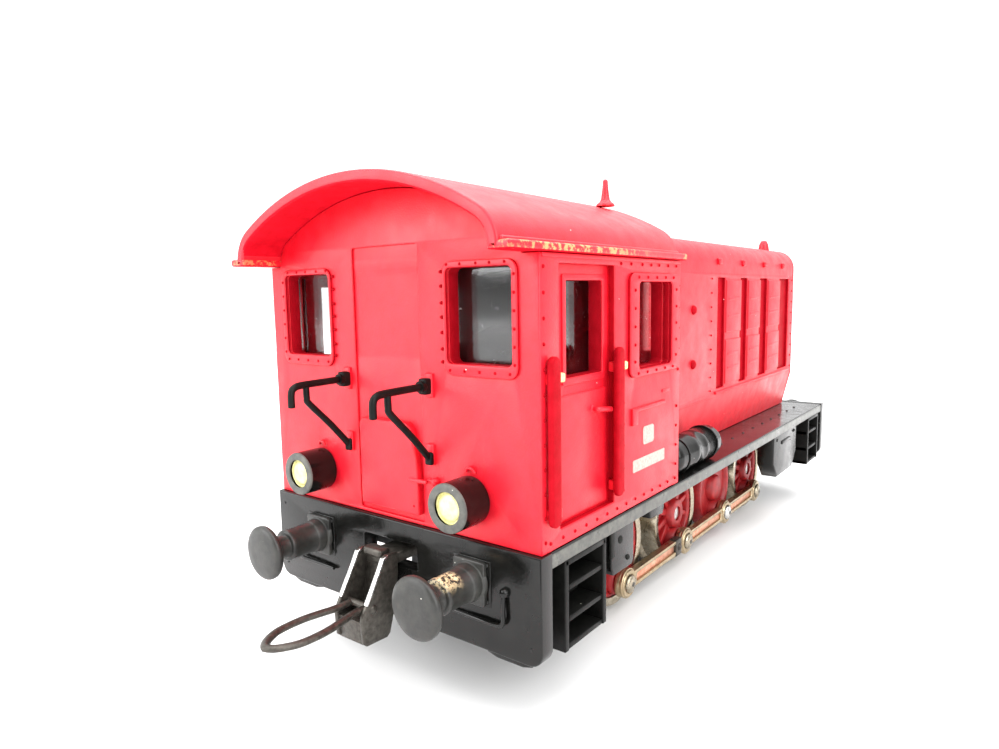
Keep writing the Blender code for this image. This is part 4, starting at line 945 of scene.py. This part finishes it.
def make_frame():
    shape = bmesh.new()
    deck = rounded((-BEAM_FACE + 1.6, -17.1), (BEAM_FACE - 1.6, 17.1), 0)
    hole = rounded((-37.3, -6.3), (34.3, 6.3), 0.2)
    plate(shape, [deck, hole], DECK_UNDER, DECK_TOP, place(), 1, 0.14, 3)
    for side in (RIGHT, LEFT):
        # edge angle of the running board, coloured lighter grey as a painted highlight, with the frame below
        # it
        block(shape, (-BEAM_FACE + 1.5, side * 16.2, 14.75),
              (BEAM_FACE - 1.5, side * 17.15, 15.95), 3, 0.12, 3)
        block(shape, (-34.6, side * 13.7, 13.2), (31.0, side * 14.2, 15.0), 2, 0.1)
        hangers(shape, side)
        sandbox(shape, side)
        for k in range(13):
            x = -15.6 + 4.5 * k
            dome(shape, place((x, side * 14.0, DECK_TOP - 0.02)), 0.22, 0.12, 1)
    for end in (REAR, FRONT):
        beam(shape, end)
    emit("frame_casting", shape, [BLACK, BLACK_DECK, BLACK_MATT, DECK_EDGE_PAINTED_HIGHLIGHT], "chassis", ("frame_deck",))


def beam(shape, end):
    """Buffer beam with its plates, grab handles and guard irons."""
    face = end * BEAM_FACE
    inner = end * (BEAM_FACE - BEAM_THICKNESS)
    slot = rounded((-3.5, 11.85), (3.5, 14.2), 0.25)
    bores = [circle((side * BUFFER_Y, BUFFER_Z), 1.05, 24) for side in (RIGHT, LEFT)]
    plate(shape, [beam_outline(), slot] + bores, face, inner, place(along="x"), 0, 0.16, 3)
    turned(shape, [(1.2, 15.4), (1.2, 13.35), (0.66, 13.35), (0.66, 15.4)], place((end * PIVOT_X, 0, 0)), 2)
    out = endwards(end)
    # screens that close the view past the coupler
    block(shape, (end * 37.5, -13.4, 9.4), (end * 37.9, 13.4, 14.95), 2, 0.05)
    block(shape, (end * 41.6, -5.6, 13.65), (end * 44.0, 5.6, 14.95), 2, 0.05)
    for side in (RIGHT, LEFT):
        # plate behind the buffer, with four bolts
        block(shape, (face - end * 0.2, side * 8.05, 10.75),
              (face + end * 0.05, side * 12.1, 14.75), 0, 0.05)
        for dy in (-1.65, 1.65):
            for dz in (-1.6, 1.6):
                spot = (face + end * 0.04, side * (BUFFER_Y + dy), BUFFER_Z + dz)
                dome(shape, place(spot, out), 0.2, 0.14)
        # L-shaped grab handle from a ball down and in
        handle = ((0.22, 13.6, 12.4), (0.36, 13.6, 11.0), (0.36, 13.6, 10.1), (0.36, 13.1, 9.66),
                  (0.34, 10.85, 9.6), (0.2, 8.1, 9.55))
        tube(shape, smooth_path([(face + end * proud, side * y, z) for proud, y, z in handle]), 0.2)
        turned(shape, [(0, 0.5), (0.25, 0.46), (0.42, 0.25), (0.42, -0.1), (0, -0.1)],
               place((face, side * 13.6, 12.5), out), 0, 16)
        # guard iron under the beam
        guard = [(10.9, 7.2), (11.2, GUARD_LOW + 0.25), (12.2, GUARD_LOW), (14.9, GUARD_LOW),
                 (15.8, GUARD_LOW + 0.25), (16.1, 7.2)]
        plate(shape, [flipped(guard, side)], face - end * 0.5, inner, place(along="x"), 0, 0.12)
        for z in (8.3, 14.9):
            dome(shape, place((face - end * 0.02, side * 16.2, z), out), 0.18, 0.1)


def hangers(shape, side):
    """Brake hanger plate behind the step and the small lug after it."""
    out = outwards(side)
    hanger = [(-33.7, 15.5), (-33.7, 11.2), (-33.2, 10.4), (-29.6, 10.4), (-29.2, 10.9), (-29.2, 15.5)]
    plate(shape, [flipped(hanger, -side)], 15.8, 16.9, place(along=out), 0, 0.14, 3)
    for x, z, r in ((-32.0, 13.6, 0.42), (-30.5, 11.4, 0.3)):
        dome(shape, place((x, side * 16.86, z), out), r, 0.24, 2, 14)
    block(shape, (-33.9, side * 16.7, 12.2), (-33.2, side * 17.0, 14.9), 2)
    lug = [(-26.0, 15.5), (-25.4, 13.8), (-22.6, 13.6), (-22.2, 14.2), (-22.2, 15.5)]
    plate(shape, [flipped(lug, -side)], 15.8, 16.9, place(along=out), 0, 0.12)


def sandbox(shape, side):
    out = outwards(side)
    outline = [(17.0, 15.5), (17.0, 10.4), (19.2, 8.1), (27.3, 8.1), (29.5, 10.4), (29.5, 15.5)]
    plate(shape, [flipped(outline, -side)], 14.3, 16.8, place(along=out), 0, 0.3, 3)
    for x in (18.6, 27.9):
        dome(shape, place((x, side * 16.78, 14.0), out), 0.3, 0.2)
    block(shape, (21.0, side * 16.6, 12.9), (25.5, side * 17.0, 13.5), 0, 0.15)


def make_steps(end, side):
    """Ladder of three treads between two posts, its near post towards the middle."""
    name = f"step_{ENDS[end]}_{SIDES[side]}"
    low, high = box_mm(name)
    inner, outer = (low[1], high[1]) if side == LEFT else (high[1], low[1])
    near, far = (high[0], low[0]) if end == REAR else (low[0], high[0])
    shape = bmesh.new()
    for x in (far, near):
        post = 0.62 if x == low[0] else -0.62
        block(shape, (x, inner, low[2]), (x + post, outer, high[2]), 0, 0.1, 3)
    block(shape, (low[0] + 0.1, inner, low[2] + 0.05),
          (high[0] - 0.1, inner + side * 0.5, high[2] - 0.05), 1, 0.05)
    block(shape, (low[0] + 0.1, inner, high[2] - 0.55), (high[0] - 0.1, outer, high[2]))
    cut_back = -0.75 * end      # a tread stops this much short of the step's far end
    at = place(along=outwards(side))
    for z in (low[2], 9.2, 12.0):
        tread = [(far + cut_back, z), (near, z), (near, z + 0.46), (far + cut_back * 1.25, z + 0.46)]
        plate(shape, [flipped(tread, -side)], abs(inner), abs(outer) - 0.12, at, 0, 0.09)
    emit(name + "_ladder", shape, [BLACK_STEP, BLACK_MATT], "chassis", (name,))


def make_air_tank(side):
    name = f"air_tank_{SIDES[side]}"
    low, high = box_mm(name)
    y, z = (low[1] + high[1]) / 2, (low[2] + high[2]) / 2
    radius, half = (high[2] - low[2]) / 2, (high[0] - low[0]) / 2
    x = (low[0] + high[0]) / 2
    shape = bmesh.new()
    cap = [(0, half), (0.7, half - 0.05), (1.3, half - 0.35), (1.75, half - 0.75),
           (radius - 0.08, half - 1.25), (radius - 0.05, half - 1.5), (radius - 0.05, 1.8),
           (radius, 1.7), (radius, 0.9), (radius - 0.05, 0.8)]
    turned(shape, cap + [(r, -h) for r, h in reversed(cap)], place((x, y, z), "x"), sides=48)
    for dx in (-4.2, 4.2):
        ring = [(x + dx, y + dy, z + dz) for dy, dz in circle((0, 0), radius + 0.02)]
        tube(shape, ring, 0.11, 0, True)
    turned(shape, [(0, 0.35), (0.25, 0.3), (0.35, 0), (0, 0)], place((x + half - 0.2, y, z), "x"), sides=14)
    emit(name + "_shell", shape, [BLACK_DECK], "chassis", (name,))


# ---------------------------------------------------------------- wheels and rods

TREAD = 6.3             # radius of the tread
SPOKES = 12
CRANK = {RIGHT: (0.0, -THROW), LEFT: (THROW, 0.0)}     # world X, Z from the axle to the pin
CRANK_TURN = {RIGHT: -90.0, LEFT: 180.0}               # the pin's direction in the wheel's own plane


def crank_boss(shape, x, side, base=8.9):
    dx, dz = CRANK[side]
    at = place((x + dx, 0, AXLE_Z + dz), outwards(side))
    turned(shape, [(0, 10.52), (1.35, 10.52), (1.6, 10.3), (1.68, base), (0, base)], at, 0, 28)
    turned(shape, [(0, 12.28), (0.62, 12.26), (0.92, 12.12), (1.05, 11.9), (1.05, 11.82), (0.68, 11.8),
                   (0.68, 10.4), (0, 10.4)], at, 1, 24)
    turned(shape, [(0, 12.3), (0.3, 12.3), (0.3, 12.2), (0, 12.2)], at, 2, 6)


def spokes(shape, x, side, hub, rim, low, high):
    at = place((x, 0, AXLE_Z), outwards(side))
    outline = [(hub, -0.46), (rim, -0.27), (rim, 0.27), (hub, 0.46)]
    for k in range(SPOKES):
        turn = Matrix.Rotation(2 * math.pi * (k + 0.5) / SPOKES, 4, "Z")
        plate(shape, [outline], low, high, at @ turn, 0, 0.14)


def counterweight(shape, x, side, rim, low, high):
    """Crescent opposite the crank."""
    at = place((x, 0, AXLE_Z), outwards(side))
    middle = CRANK_TURN[side] + 180.0
    outer = arc((0, 0), rim, middle - 48, middle + 48, 14)
    bow = arc((0, 0), rim - 1.7, middle + 34, middle - 34, 8)
    plate(shape, [outer + bow], low, high, at, 0, 0.14)


def make_wheel(label, side):
    name = f"wheel_{label}_{SIDES[side]}"
    x = AXLES[label]
    at = place((x, 0, AXLE_Z), outwards(side))
    shape = bmesh.new()
    tyre = [(5.35, 10.0), (5.5, 10.1), (TREAD - 0.08, 10.1), (TREAD, 10.0), (TREAD + 0.04, 8.5),
            (TREAD + 0.14, 8.2), (6.5, 7.98), (6.95, 7.85), (7.14, 7.7), (7.2, 7.52), (7.12, 7.3),
            (6.9, 7.2), (5.35, 7.2)]
    # the tyre takes slot 1, the darkened nickel: painted shade
    turned(shape, tyre, at, 1, 72)
    turned(shape, [(0.98, 9.0), (5.4, 9.0), (5.4, 7.25), (0.98, 7.25)], at, 0, 60)
    turned(shape, [(4.75, 9.6), (4.9, 9.78), (5.3, 9.82), (5.38, 9.7), (5.38, 8.9), (4.75, 8.9)], at, 0, 60)
    turned(shape, [(0.98, 10.34), (1.7, 10.34), (1.9, 10.2), (2.05, 9.4), (2.1, 8.9), (0.98, 8.9)], at, 0, 36)
    spokes(shape, x, side, 1.9, 4.95, 8.9, 9.6)
    counterweight(shape, x, side, 5.0, 8.9, 9.7)
    crank_boss(shape, x, side)
    emit(f"{name}_disc", shape, [RED_WHEEL, TYRE_PAINTED_SHADE, BLACKENED], BODY_OF[name], (name,))


def make_jackshaft():
    shape = bmesh.new()
    turned(shape, [(0, 10.0), (0.9, 10.0), (0.9, -10.0), (0, -10.0)],
           place((JACKSHAFT_X, 0, AXLE_Z), "y"), 1, 24)
    for side in (RIGHT, LEFT):
        at = place((JACKSHAFT_X, 0, AXLE_Z), outwards(side))
        turned(shape, [(0.9, 9.3), (5.0, 9.3), (5.2, 9.75), (5.4, 9.88), (5.75, 9.88), (5.9, 9.7), (5.9, 8.0),
                       (5.8, 7.9), (0.9, 7.9)], at, 0, 60)
        turned(shape, [(0, 10.2), (1.7, 10.2), (1.9, 10.05), (2.1, 9.2), (0, 9.2)], at, 0, 36)
        counterweight(shape, JACKSHAFT_X, side, 5.05, 9.1, 9.7)
        crank_boss(shape, JACKSHAFT_X, side)
    emit("jackshaft_cranks", shape, [RED_WHEEL, STEEL, BLACKENED], "jackshaft", ("jackshaft",))


def rod_outline(pins):
    """Straight bar with a round boss at each pin."""
    half, boss = 0.95, 1.75
    neck = math.degrees(math.asin(half / boss))
    outline = arc((pins[0], 0), boss, 360 - neck, neck, 22)
    for pin in pins[1:-1]:
        outline += arc((pin, 0), boss, 180 - neck, neck, 10)
    outline += arc((pins[-1], 0), boss, 180 - neck, neck - 180, 22)
    for pin in reversed(pins[1:-1]):
        outline += arc((pin, 0), boss, -neck, neck - 180, 10)
    return outline


def make_side_rod(side):
    """Fluted coupling rod with four bosses and a knuckle behind its second pin."""
    name = f"side_rod_{SIDES[side]}"
    middle = AXLES["middle"]
    dx, dz = CRANK[side]
    pins = sorted(-side * (x - middle) for x in (*AXLES.values(), JACKSHAFT_X))
    at = place((middle + dx, 0, AXLE_Z + dz), outwards(side))
    bar = [rod_outline(pins)] + [circle((pin, 0), 0.8, 20) for pin in pins]
    flutes = [rounded((first + 2.1, -0.5), (second - 2.1, 0.5), 0.24, 3)
              for first, second in zip(pins, pins[1:])]
    shape = bmesh.new()
    plate(shape, bar, 10.7, 11.35, at, 0, 0.1)
    plate(shape, bar + flutes, 11.25, 11.7, at, 0, 0.1)
    for flute in flutes:
        plate(shape, [flute], 11.2, 11.4, at, 1, 0.01, 1)
    for pin in pins:
        turned(shape, [(1.15, 11.84), (1.5, 11.84), (1.6, 11.7), (1.6, 11.5), (1.15, 11.5)],
               at @ Matrix.Translation((pin, 0, 0)), 0, 36)
    knuckle = (pins[1] if side == RIGHT else pins[2]) + side * 2.7
    fork = at @ Matrix.Translation((knuckle, 0, 0))
    block(shape, (-0.85, -1.1, 10.75), (0.85, 1.1, 11.8), 2, 0.14, 2, fork)
    turned(shape, [(0, 12.05), (0.35, 12.0), (0.5, 11.8), (0.5, 11.3), (0, 11.3)], fork, 2, 18)
    emit(f"{name}_fluted", shape, [ROD, ROD_RECESS, BLACKENED], BODY_OF[name], (name,))


# ---------------------------------------------------------------- buffers and couplers

def make_buffer(end, side):
    name = f"buffer_{ENDS[end]}_{SIDES[side]}"
    low, high = box_mm(name)
    reach = max(abs(low[0]), abs(high[0])) - BEAM_FACE
    at = place((end * BEAM_FACE, side * BUFFER_Y, BUFFER_Z), endwards(end))
    shape = bmesh.new()
    head = [(0, 0), (1.3, 0.01), (2.1, 0.1), (2.46, 0.22), (2.58, 0.36), (2.6, 0.5), (2.58, 0.72),
            (2.46, 0.84), (1.5, 1.0), (1.18, 1.3)]
    stem = [(1.15, 4.75), (1.2, 4.55), (1.45, 4.5), (1.52, 4.4), (1.52, 4.0), (1.46, 3.9), (1.5, 1.6),
            (1.56, 1.5), (1.62, 1.4), (1.66, 0.6), (1.85, 0.45), (1.9, 0.2), (1.0, 0.1),
            (1.0, -1.6), (0, -1.6)]
    turned(shape, [(radius, reach - back) for radius, back in head] + stem, at, 0, 56)
    plate(shape, [rounded((-1.7, -1.95), (1.7, 1.95), 0.3)], 0.06, 0.52, at, 0, 0.12, 3)
    emit(f"{name}_turned", shape, [BUFFER_BLACK], "chassis", (name,))


def worn_sleeve(material, colour):
    """Paint flaked to a gold undercoat on top of the rear right sleeve."""
    share = ramp(material, object_noise(material, 0.42, 5.0, 0.75), [(0.47, 0.0), (0.53, 1.0)])
    for axis, low, high, soft in ((0, -50.2, -48.3, 0.35), (1, -11.2, -9.2, 0.5), (2, 13.4, 15.2, 0.4)):
        share = combined(material, "MULTIPLY", share, axis_window(material, axis, low, high, soft))
    return blended(material, share, colour, (0.78, 0.62, 0.36))


def buffer_black():
    material = black_plastic("buffer_black", 0.014, (0.34, 0.5), 0.22, 0.3, 0.4)
    shader = nodes_of(material)["Principled BSDF"]
    colour = shader.inputs["Base Color"].links[0].from_socket
    wire(material, worn_sleeve(material, colour), shader.inputs["Base Color"])
    return material


BUFFER_BLACK = buffer_black()


def pivot_place(end, height=0.0):
    """Matrix with local X out from a coupler's pivot."""
    turn = Matrix.Rotation(0.0 if end == FRONT else math.pi, 4, "Z")
    return Matrix.Translation((end * PIVOT_X, 0, height)) @ turn


def make_coupler(end):
    """Shank on its pivot and a folded channel with bare front edges and a dark block under it."""
    name = f"coupler_{ENDS[end]}"
    at = pivot_place(end)
    shape = bmesh.new()
    shank = [(7.4, 1.4), (1.5, 1.4)] + arc((0, 0), 1.95, 46, 314, 20) + [(1.5, -1.4), (7.4, -1.4)]
    plate(shape, [shank, circle((0, 0), 1.25, 24)], 12.3, 13.3, at, 0, 0.1)
    upright = at @ Matrix.Rotation(math.pi / 2, 4, "X")
    cheek = [(6.5, 13.65), (7.9, 13.75), (8.25, 13.55), (8.7, 12.7), (9.6, 11.2), (10.35, 9.95), (10.9, 9.0),
             (11.0, 8.5), (10.85, 6.5), (10.5, 6.2), (8.1, 6.1), (7.7, 6.4), (7.1, 8.4), (6.5, 11.6)]
    for side in (RIGHT, LEFT):
        plate(shape, [cheek], side * 1.5, side * 1.9, upright, 0, 0.1)
    # back of the channel and the block that closes it below
    back = [(6.5, 13.5), (7.35, 13.5), (7.35, 11.6), (8.2, 8.45), (10.8, 8.4), (10.65, 6.3), (8.1, 6.2),
            (7.1, 8.4), (6.5, 11.6)]
    plate(shape, [back], -1.55, 1.55, upright, 0, 0.12)
    # bare edges of the two cheeks
    edge = [(7.75, 13.72), (8.3, 13.5), (8.75, 12.66), (9.65, 11.16), (10.4, 9.92), (10.28, 9.8),
            (9.45, 11.0), (8.55, 12.55), (8.12, 13.3), (7.7, 13.5)]
    for side in (RIGHT, LEFT):
        plate(shape, [edge], side * 1.47, side * 1.93, upright, 1, 0.05)
    # heads of the bail's hinge and a small hook tooth
    for side in (RIGHT, LEFT):
        hinge = at @ place((BAIL_HINGE[0], side * 1.88, BAIL_HINGE[1]), outwards(side))
        dome(shape, hinge, 0.42, 0.2, 0, 16)
    block(shape, (6.7, -1.2, 13.2), (8.0, 1.2, 14.0), 0, 0.25, 3, at)
    emit(f"{name}_channel", shape, [BLACKENED, BARE_STEEL], BODY_OF[name], (name,))


def make_bail(end):
    """Flattened wire loop on its hinge pin."""
    name = f"coupler_bail_{ENDS[end]}"
    at = pivot_place(end, BAIL_HINGE[1])
    flatness = 0.72
    half = [(19.25, 0.0), (18.9, 0.6), (18.2, 1.15), (17.2, 1.6), (15.9, 1.75), (14.4, 1.7), (13.1, 1.45),
            (11.9, 1.15), (11.0, 1.04), (BAIL_HINGE[0], 1.02)]
    loop = smooth_path([(u, v, 0.0) for u, v in half], 4)
    loop += [(u, -v, w) for u, v, w in reversed(loop[1:])]
    data = rod_mesh(loop, True, 0.4)
    for vertex in data.vertices:
        vertex.co.z *= flatness
    shape = bmesh.new()
    add_data(shape, data, at, 0)
    pin = at @ place((BAIL_HINGE[0], 0, 0), "y")
    turned(shape, [(0, 1.45), (0.34, 1.4), (0.34, -1.4), (0, -1.45)], pin, 0, 16)
    emit(f"{name}_loop", shape, [BLACKENED], BODY_OF[name], (name,))


# ---------------------------------------------------------------- lamps and brackets

def make_lamp(end, side):
    name = f"lamp_{ENDS[end]}_{SIDES[side]}"
    at = place((LAMP_WALL[end], side * LAMP_Y[end], LAMP_Z), endwards(end))
    shape = bmesh.new()
    # the front ring takes slot 1, the lighter black: painted reflection
    turned(shape, [(1.36, 3.1), (1.42, 3.2), (1.98, 3.2), (2.06, 3.16), (2.1, 3.06), (2.1, 3.0), (1.62, 3.0),
                   (1.6, 3.08)], at, 1, 56)
    turned(shape, [(1.58, 3.05), (2.09, 3.05), (2.1, 2.9), (2.1, 0.4), (2.06, 0.06), (1.58, 0.06)], at, 0, 56)
    emit(f"{name}_tube", shape, [BLACK, LAMP_RING_PAINTED_REFLECTION], "chassis", (name,))


def make_lens(end):
    """Light guide: cross bar inside the body and a domed, ringed lens in each lamp."""
    name = f"light_guide_{ENDS[end]}"
    wall, across = LAMP_WALL[end], LAMP_Y[end]
    shape = bmesh.new()
    block(shape, (wall - end * 1.66, -across - 1.3, LAMP_Z - 1.0),
          (wall - end * 2.64, across + 1.3, LAMP_Z + 1.0), 0, 0.15)
    for side in (RIGHT, LEFT):
        at = place((wall, side * across, LAMP_Z), endwards(end))
        turned(shape, [(0, 3.06), (0.5, 3.03), (0.9, 2.96), (1.15, 2.88), (1.2, 2.8), (1.32, 2.8),
                       (1.36, 2.86), (1.49, 2.8), (1.49, -1.9), (0, -1.9)], at, 0, 48)
    emit(f"{name}_lenses", shape, [LENS], "chassis", (name,))


def make_bracket(side):
    """Rail bracket: rod with a turned-down tip, and a stay that drops and slants back to the wall."""
    name = f"rail_bracket_{SIDES[side]}"
    y = side * BRACKET_Y
    wall = CAB_REAR
    shape = bmesh.new()

    def bar(spots, radius):
        """Rod along (distance out from the wall, height) pairs."""
        tube(shape, smooth_path([(wall - out, y, z) for out, z in spots], 5), radius, detail=3)

    bar([(0.2, BRACKET_Z), (3.0, 29.02), (5.4, 28.98), (6.2, 28.85), (6.6, 28.4), (6.64, 27.1)], 0.33)
    dome(shape, place((wall - 6.64, y, 27.12), "-z"), 0.33, 0.1, 0, 14)
    bar([(5.0, 28.8), (4.98, 27.75), (4.75, 27.2), (2.4, 24.9), (0.3, 22.6)], 0.31)
    block(shape, (wall - 1.05, y - 0.42, 28.35), (wall - 0.06, y + 0.42, 29.75), 0, 0.16, 3)
    turned(shape, [(0, 0.62), (0.42, 0.6), (0.52, 0.45), (0.52, 0.0), (0, 0)],
           place((wall - 1.3, y, BRACKET_Z), "x"), 0, 20)
    block(shape, (wall - 0.55, y - 0.4, 22.05), (wall - 0.06, y + 0.4, 23.2), 0, 0.14, 3)
    emit(f"{name}_wire", shape, [BLACK_STEP], "chassis", (name,))


# ---------------------------------------------------------------- the pieces

make_roof()
make_horn()
make_cab()
make_cab_lining()
make_hood()
make_frame()
make_jackshaft()
for side in (RIGHT, LEFT):
    make_air_tank(side)
    make_side_rod(side)
    make_bracket(side)
    for label in AXLES:
        make_wheel(label, side)
for end in (REAR, FRONT):
    make_coupler(end)
    make_bail(end)
    make_lens(end)
    for side in (RIGHT, LEFT):
        make_steps(end, side)
        make_buffer(end, side)
        make_lamp(end, side)

INNER = (
    (STEEL, ("body_screw", "keeper_screw", "coupler_screw_front", "coupler_screw_rear", "axle_front",
             "axle_middle", "axle_rear", "motor_housing")),
    (BLACK_MATT, ("motor_brush_cap", "keeper_plate")),
    (COPPER, ("motor_armature",)),
    (BRASS, ("drive_gear", "pickup_left", "pickup_right")),
    (WHITE_GEAR, ("idler_gear", "worm_wheel")),
    # the chassis block is made near-black: painted shade between the wheels
    (ZINC_PAINTED_SHADE, ("chassis_block",)),
    (BOARD, ("circuit_board",)),
    (LENS, ("bulb_front", "bulb_rear")),
    (GLASS, ("glazing_left", "glazing_right", "glazing_rear")),
)
for material, nodes in INNER:
    for node in nodes:
        data = frame["nodes"][node].data
        data.materials.clear()
        data.materials.append(material)


# ---------------------------------------------------------------- stage, lights and camera

FLOOR_HALF = 12.0       # metres
AHEAD = 1.5             # brightness of the backdrop
BEHIND = 0.30           # brightness of the room behind the camera
BACKDROP_WAY = (0.77, 0.59, 0.25)
SUBJECT = (0, 0, 0.03)  # where the lights point, in metres


def make_floor():
    shape = bmesh.new()
    bmesh.ops.create_grid(shape, x_segments=1, y_segments=1, size=FLOOR_HALF)
    data = bpy.data.meshes.new("floor")
    shape.to_mesh(data)
    shape.free()
    material, shader = start_material("pale_floor", 0.9, specular=0.1)
    tone = ramp(material, object_noise(material, 40.0, 2.0), [(0.3, 0.72), (0.7, 0.76)])
    wire(material, tone, shader.inputs["Base Color"])
    data.materials.append(material)
    floor = bpy.data.objects.new("floor", data)
    bpy.context.scene.collection.objects.link(floor)


def make_light(name, centre, size, power):
    """Rectangular soft box turned towards the locomotive."""
    lamp = bpy.data.lights.new(name, "AREA")
    lamp.shape = "RECTANGLE"
    lamp.size, lamp.size_y = size
    lamp.energy = power
    light = bpy.data.objects.new(name, lamp)
    light.location = centre
    light.rotation_mode = "QUATERNION"
    light.rotation_quaternion = (Vector(centre) - Vector(SUBJECT)).to_track_quat("Z", "Y")
    bpy.context.scene.collection.objects.link(light)


def make_overhead():
    """Even light from above that keeps the whole floor white."""
    lamp = bpy.data.lights.new("overhead", "SUN")
    lamp.energy = 1.7
    lamp.angle = math.radians(120)
    light = bpy.data.objects.new("overhead", lamp)
    light.location = (0, 0, 1)
    bpy.context.scene.collection.objects.link(light)


def make_world():
    """White backdrop ahead of the camera, a dimmer room behind it."""
    world = bpy.data.worlds.new("soft_white")
    world.use_nodes = True
    background = nodes_of(world)["Background"]
    background.inputs["Strength"].default_value = 1.0
    facing = new_node(world, "ShaderNodeTexCoord")
    toward = new_node(world, "ShaderNodeVectorMath", operation="DOT_PRODUCT")
    toward.inputs[1].default_value = BACKDROP_WAY
    wire(world, facing.outputs["Generated"], toward.inputs[0])
    shade = new_node(world, "ShaderNodeMapRange", From_Min=-0.55, From_Max=0.35,
                     To_Min=BEHIND, To_Max=AHEAD)
    wire(world, toward.outputs["Value"], shade.inputs["Value"])
    seen = new_node(world, "ShaderNodeLightPath")
    brightness = combined(world, "MAXIMUM", shade.outputs[0], seen.outputs["Is Camera Ray"])
    wire(world, brightness, background.inputs["Color"])
    bpy.context.scene.world = world


HEADING, LIFT, ROLL = 0.659404, -0.116113, -0.017633    # of the camera, in radians
CAMERA_MM = (-88.591, -46.653, 36.855)


def make_camera():
    data = bpy.data.cameras.new("photo_view")
    data.sensor_width = 36.0
    data.lens = 24.84
    data.clip_start = 0.004
    data.clip_end = 20.0
    camera = bpy.data.objects.new("photo_view", data)
    level = math.cos(LIFT)
    forward = Vector((level * math.cos(HEADING), level * math.sin(HEADING), math.sin(LIFT)))
    level_right = Vector((math.sin(HEADING), -math.cos(HEADING), 0))
    level_up = level_right.cross(forward)
    right = math.cos(ROLL) * level_right + math.sin(ROLL) * level_up
    up = -math.sin(ROLL) * level_right + math.cos(ROLL) * level_up
    axes = Matrix((right, up, -forward)).transposed().to_4x4()
    camera.matrix_world = Matrix.Translation(Vector(CAMERA_MM) * MM) @ axes
    bpy.context.scene.collection.objects.link(camera)
    bpy.context.scene.camera = camera


make_floor()
make_world()
make_light("window", (-0.35, -0.75, 0.45), (0.9, 0.7), 10.0)
make_light("sky", (0.05, 0.0, 0.9), (1.2, 1.2), 17.0)
make_overhead()
make_light("left_fill", (-0.75, 0.45, 0.35), (0.6, 0.6), 8.0)
make_camera()
bpy.context.scene.view_settings.view_transform = "Standard"
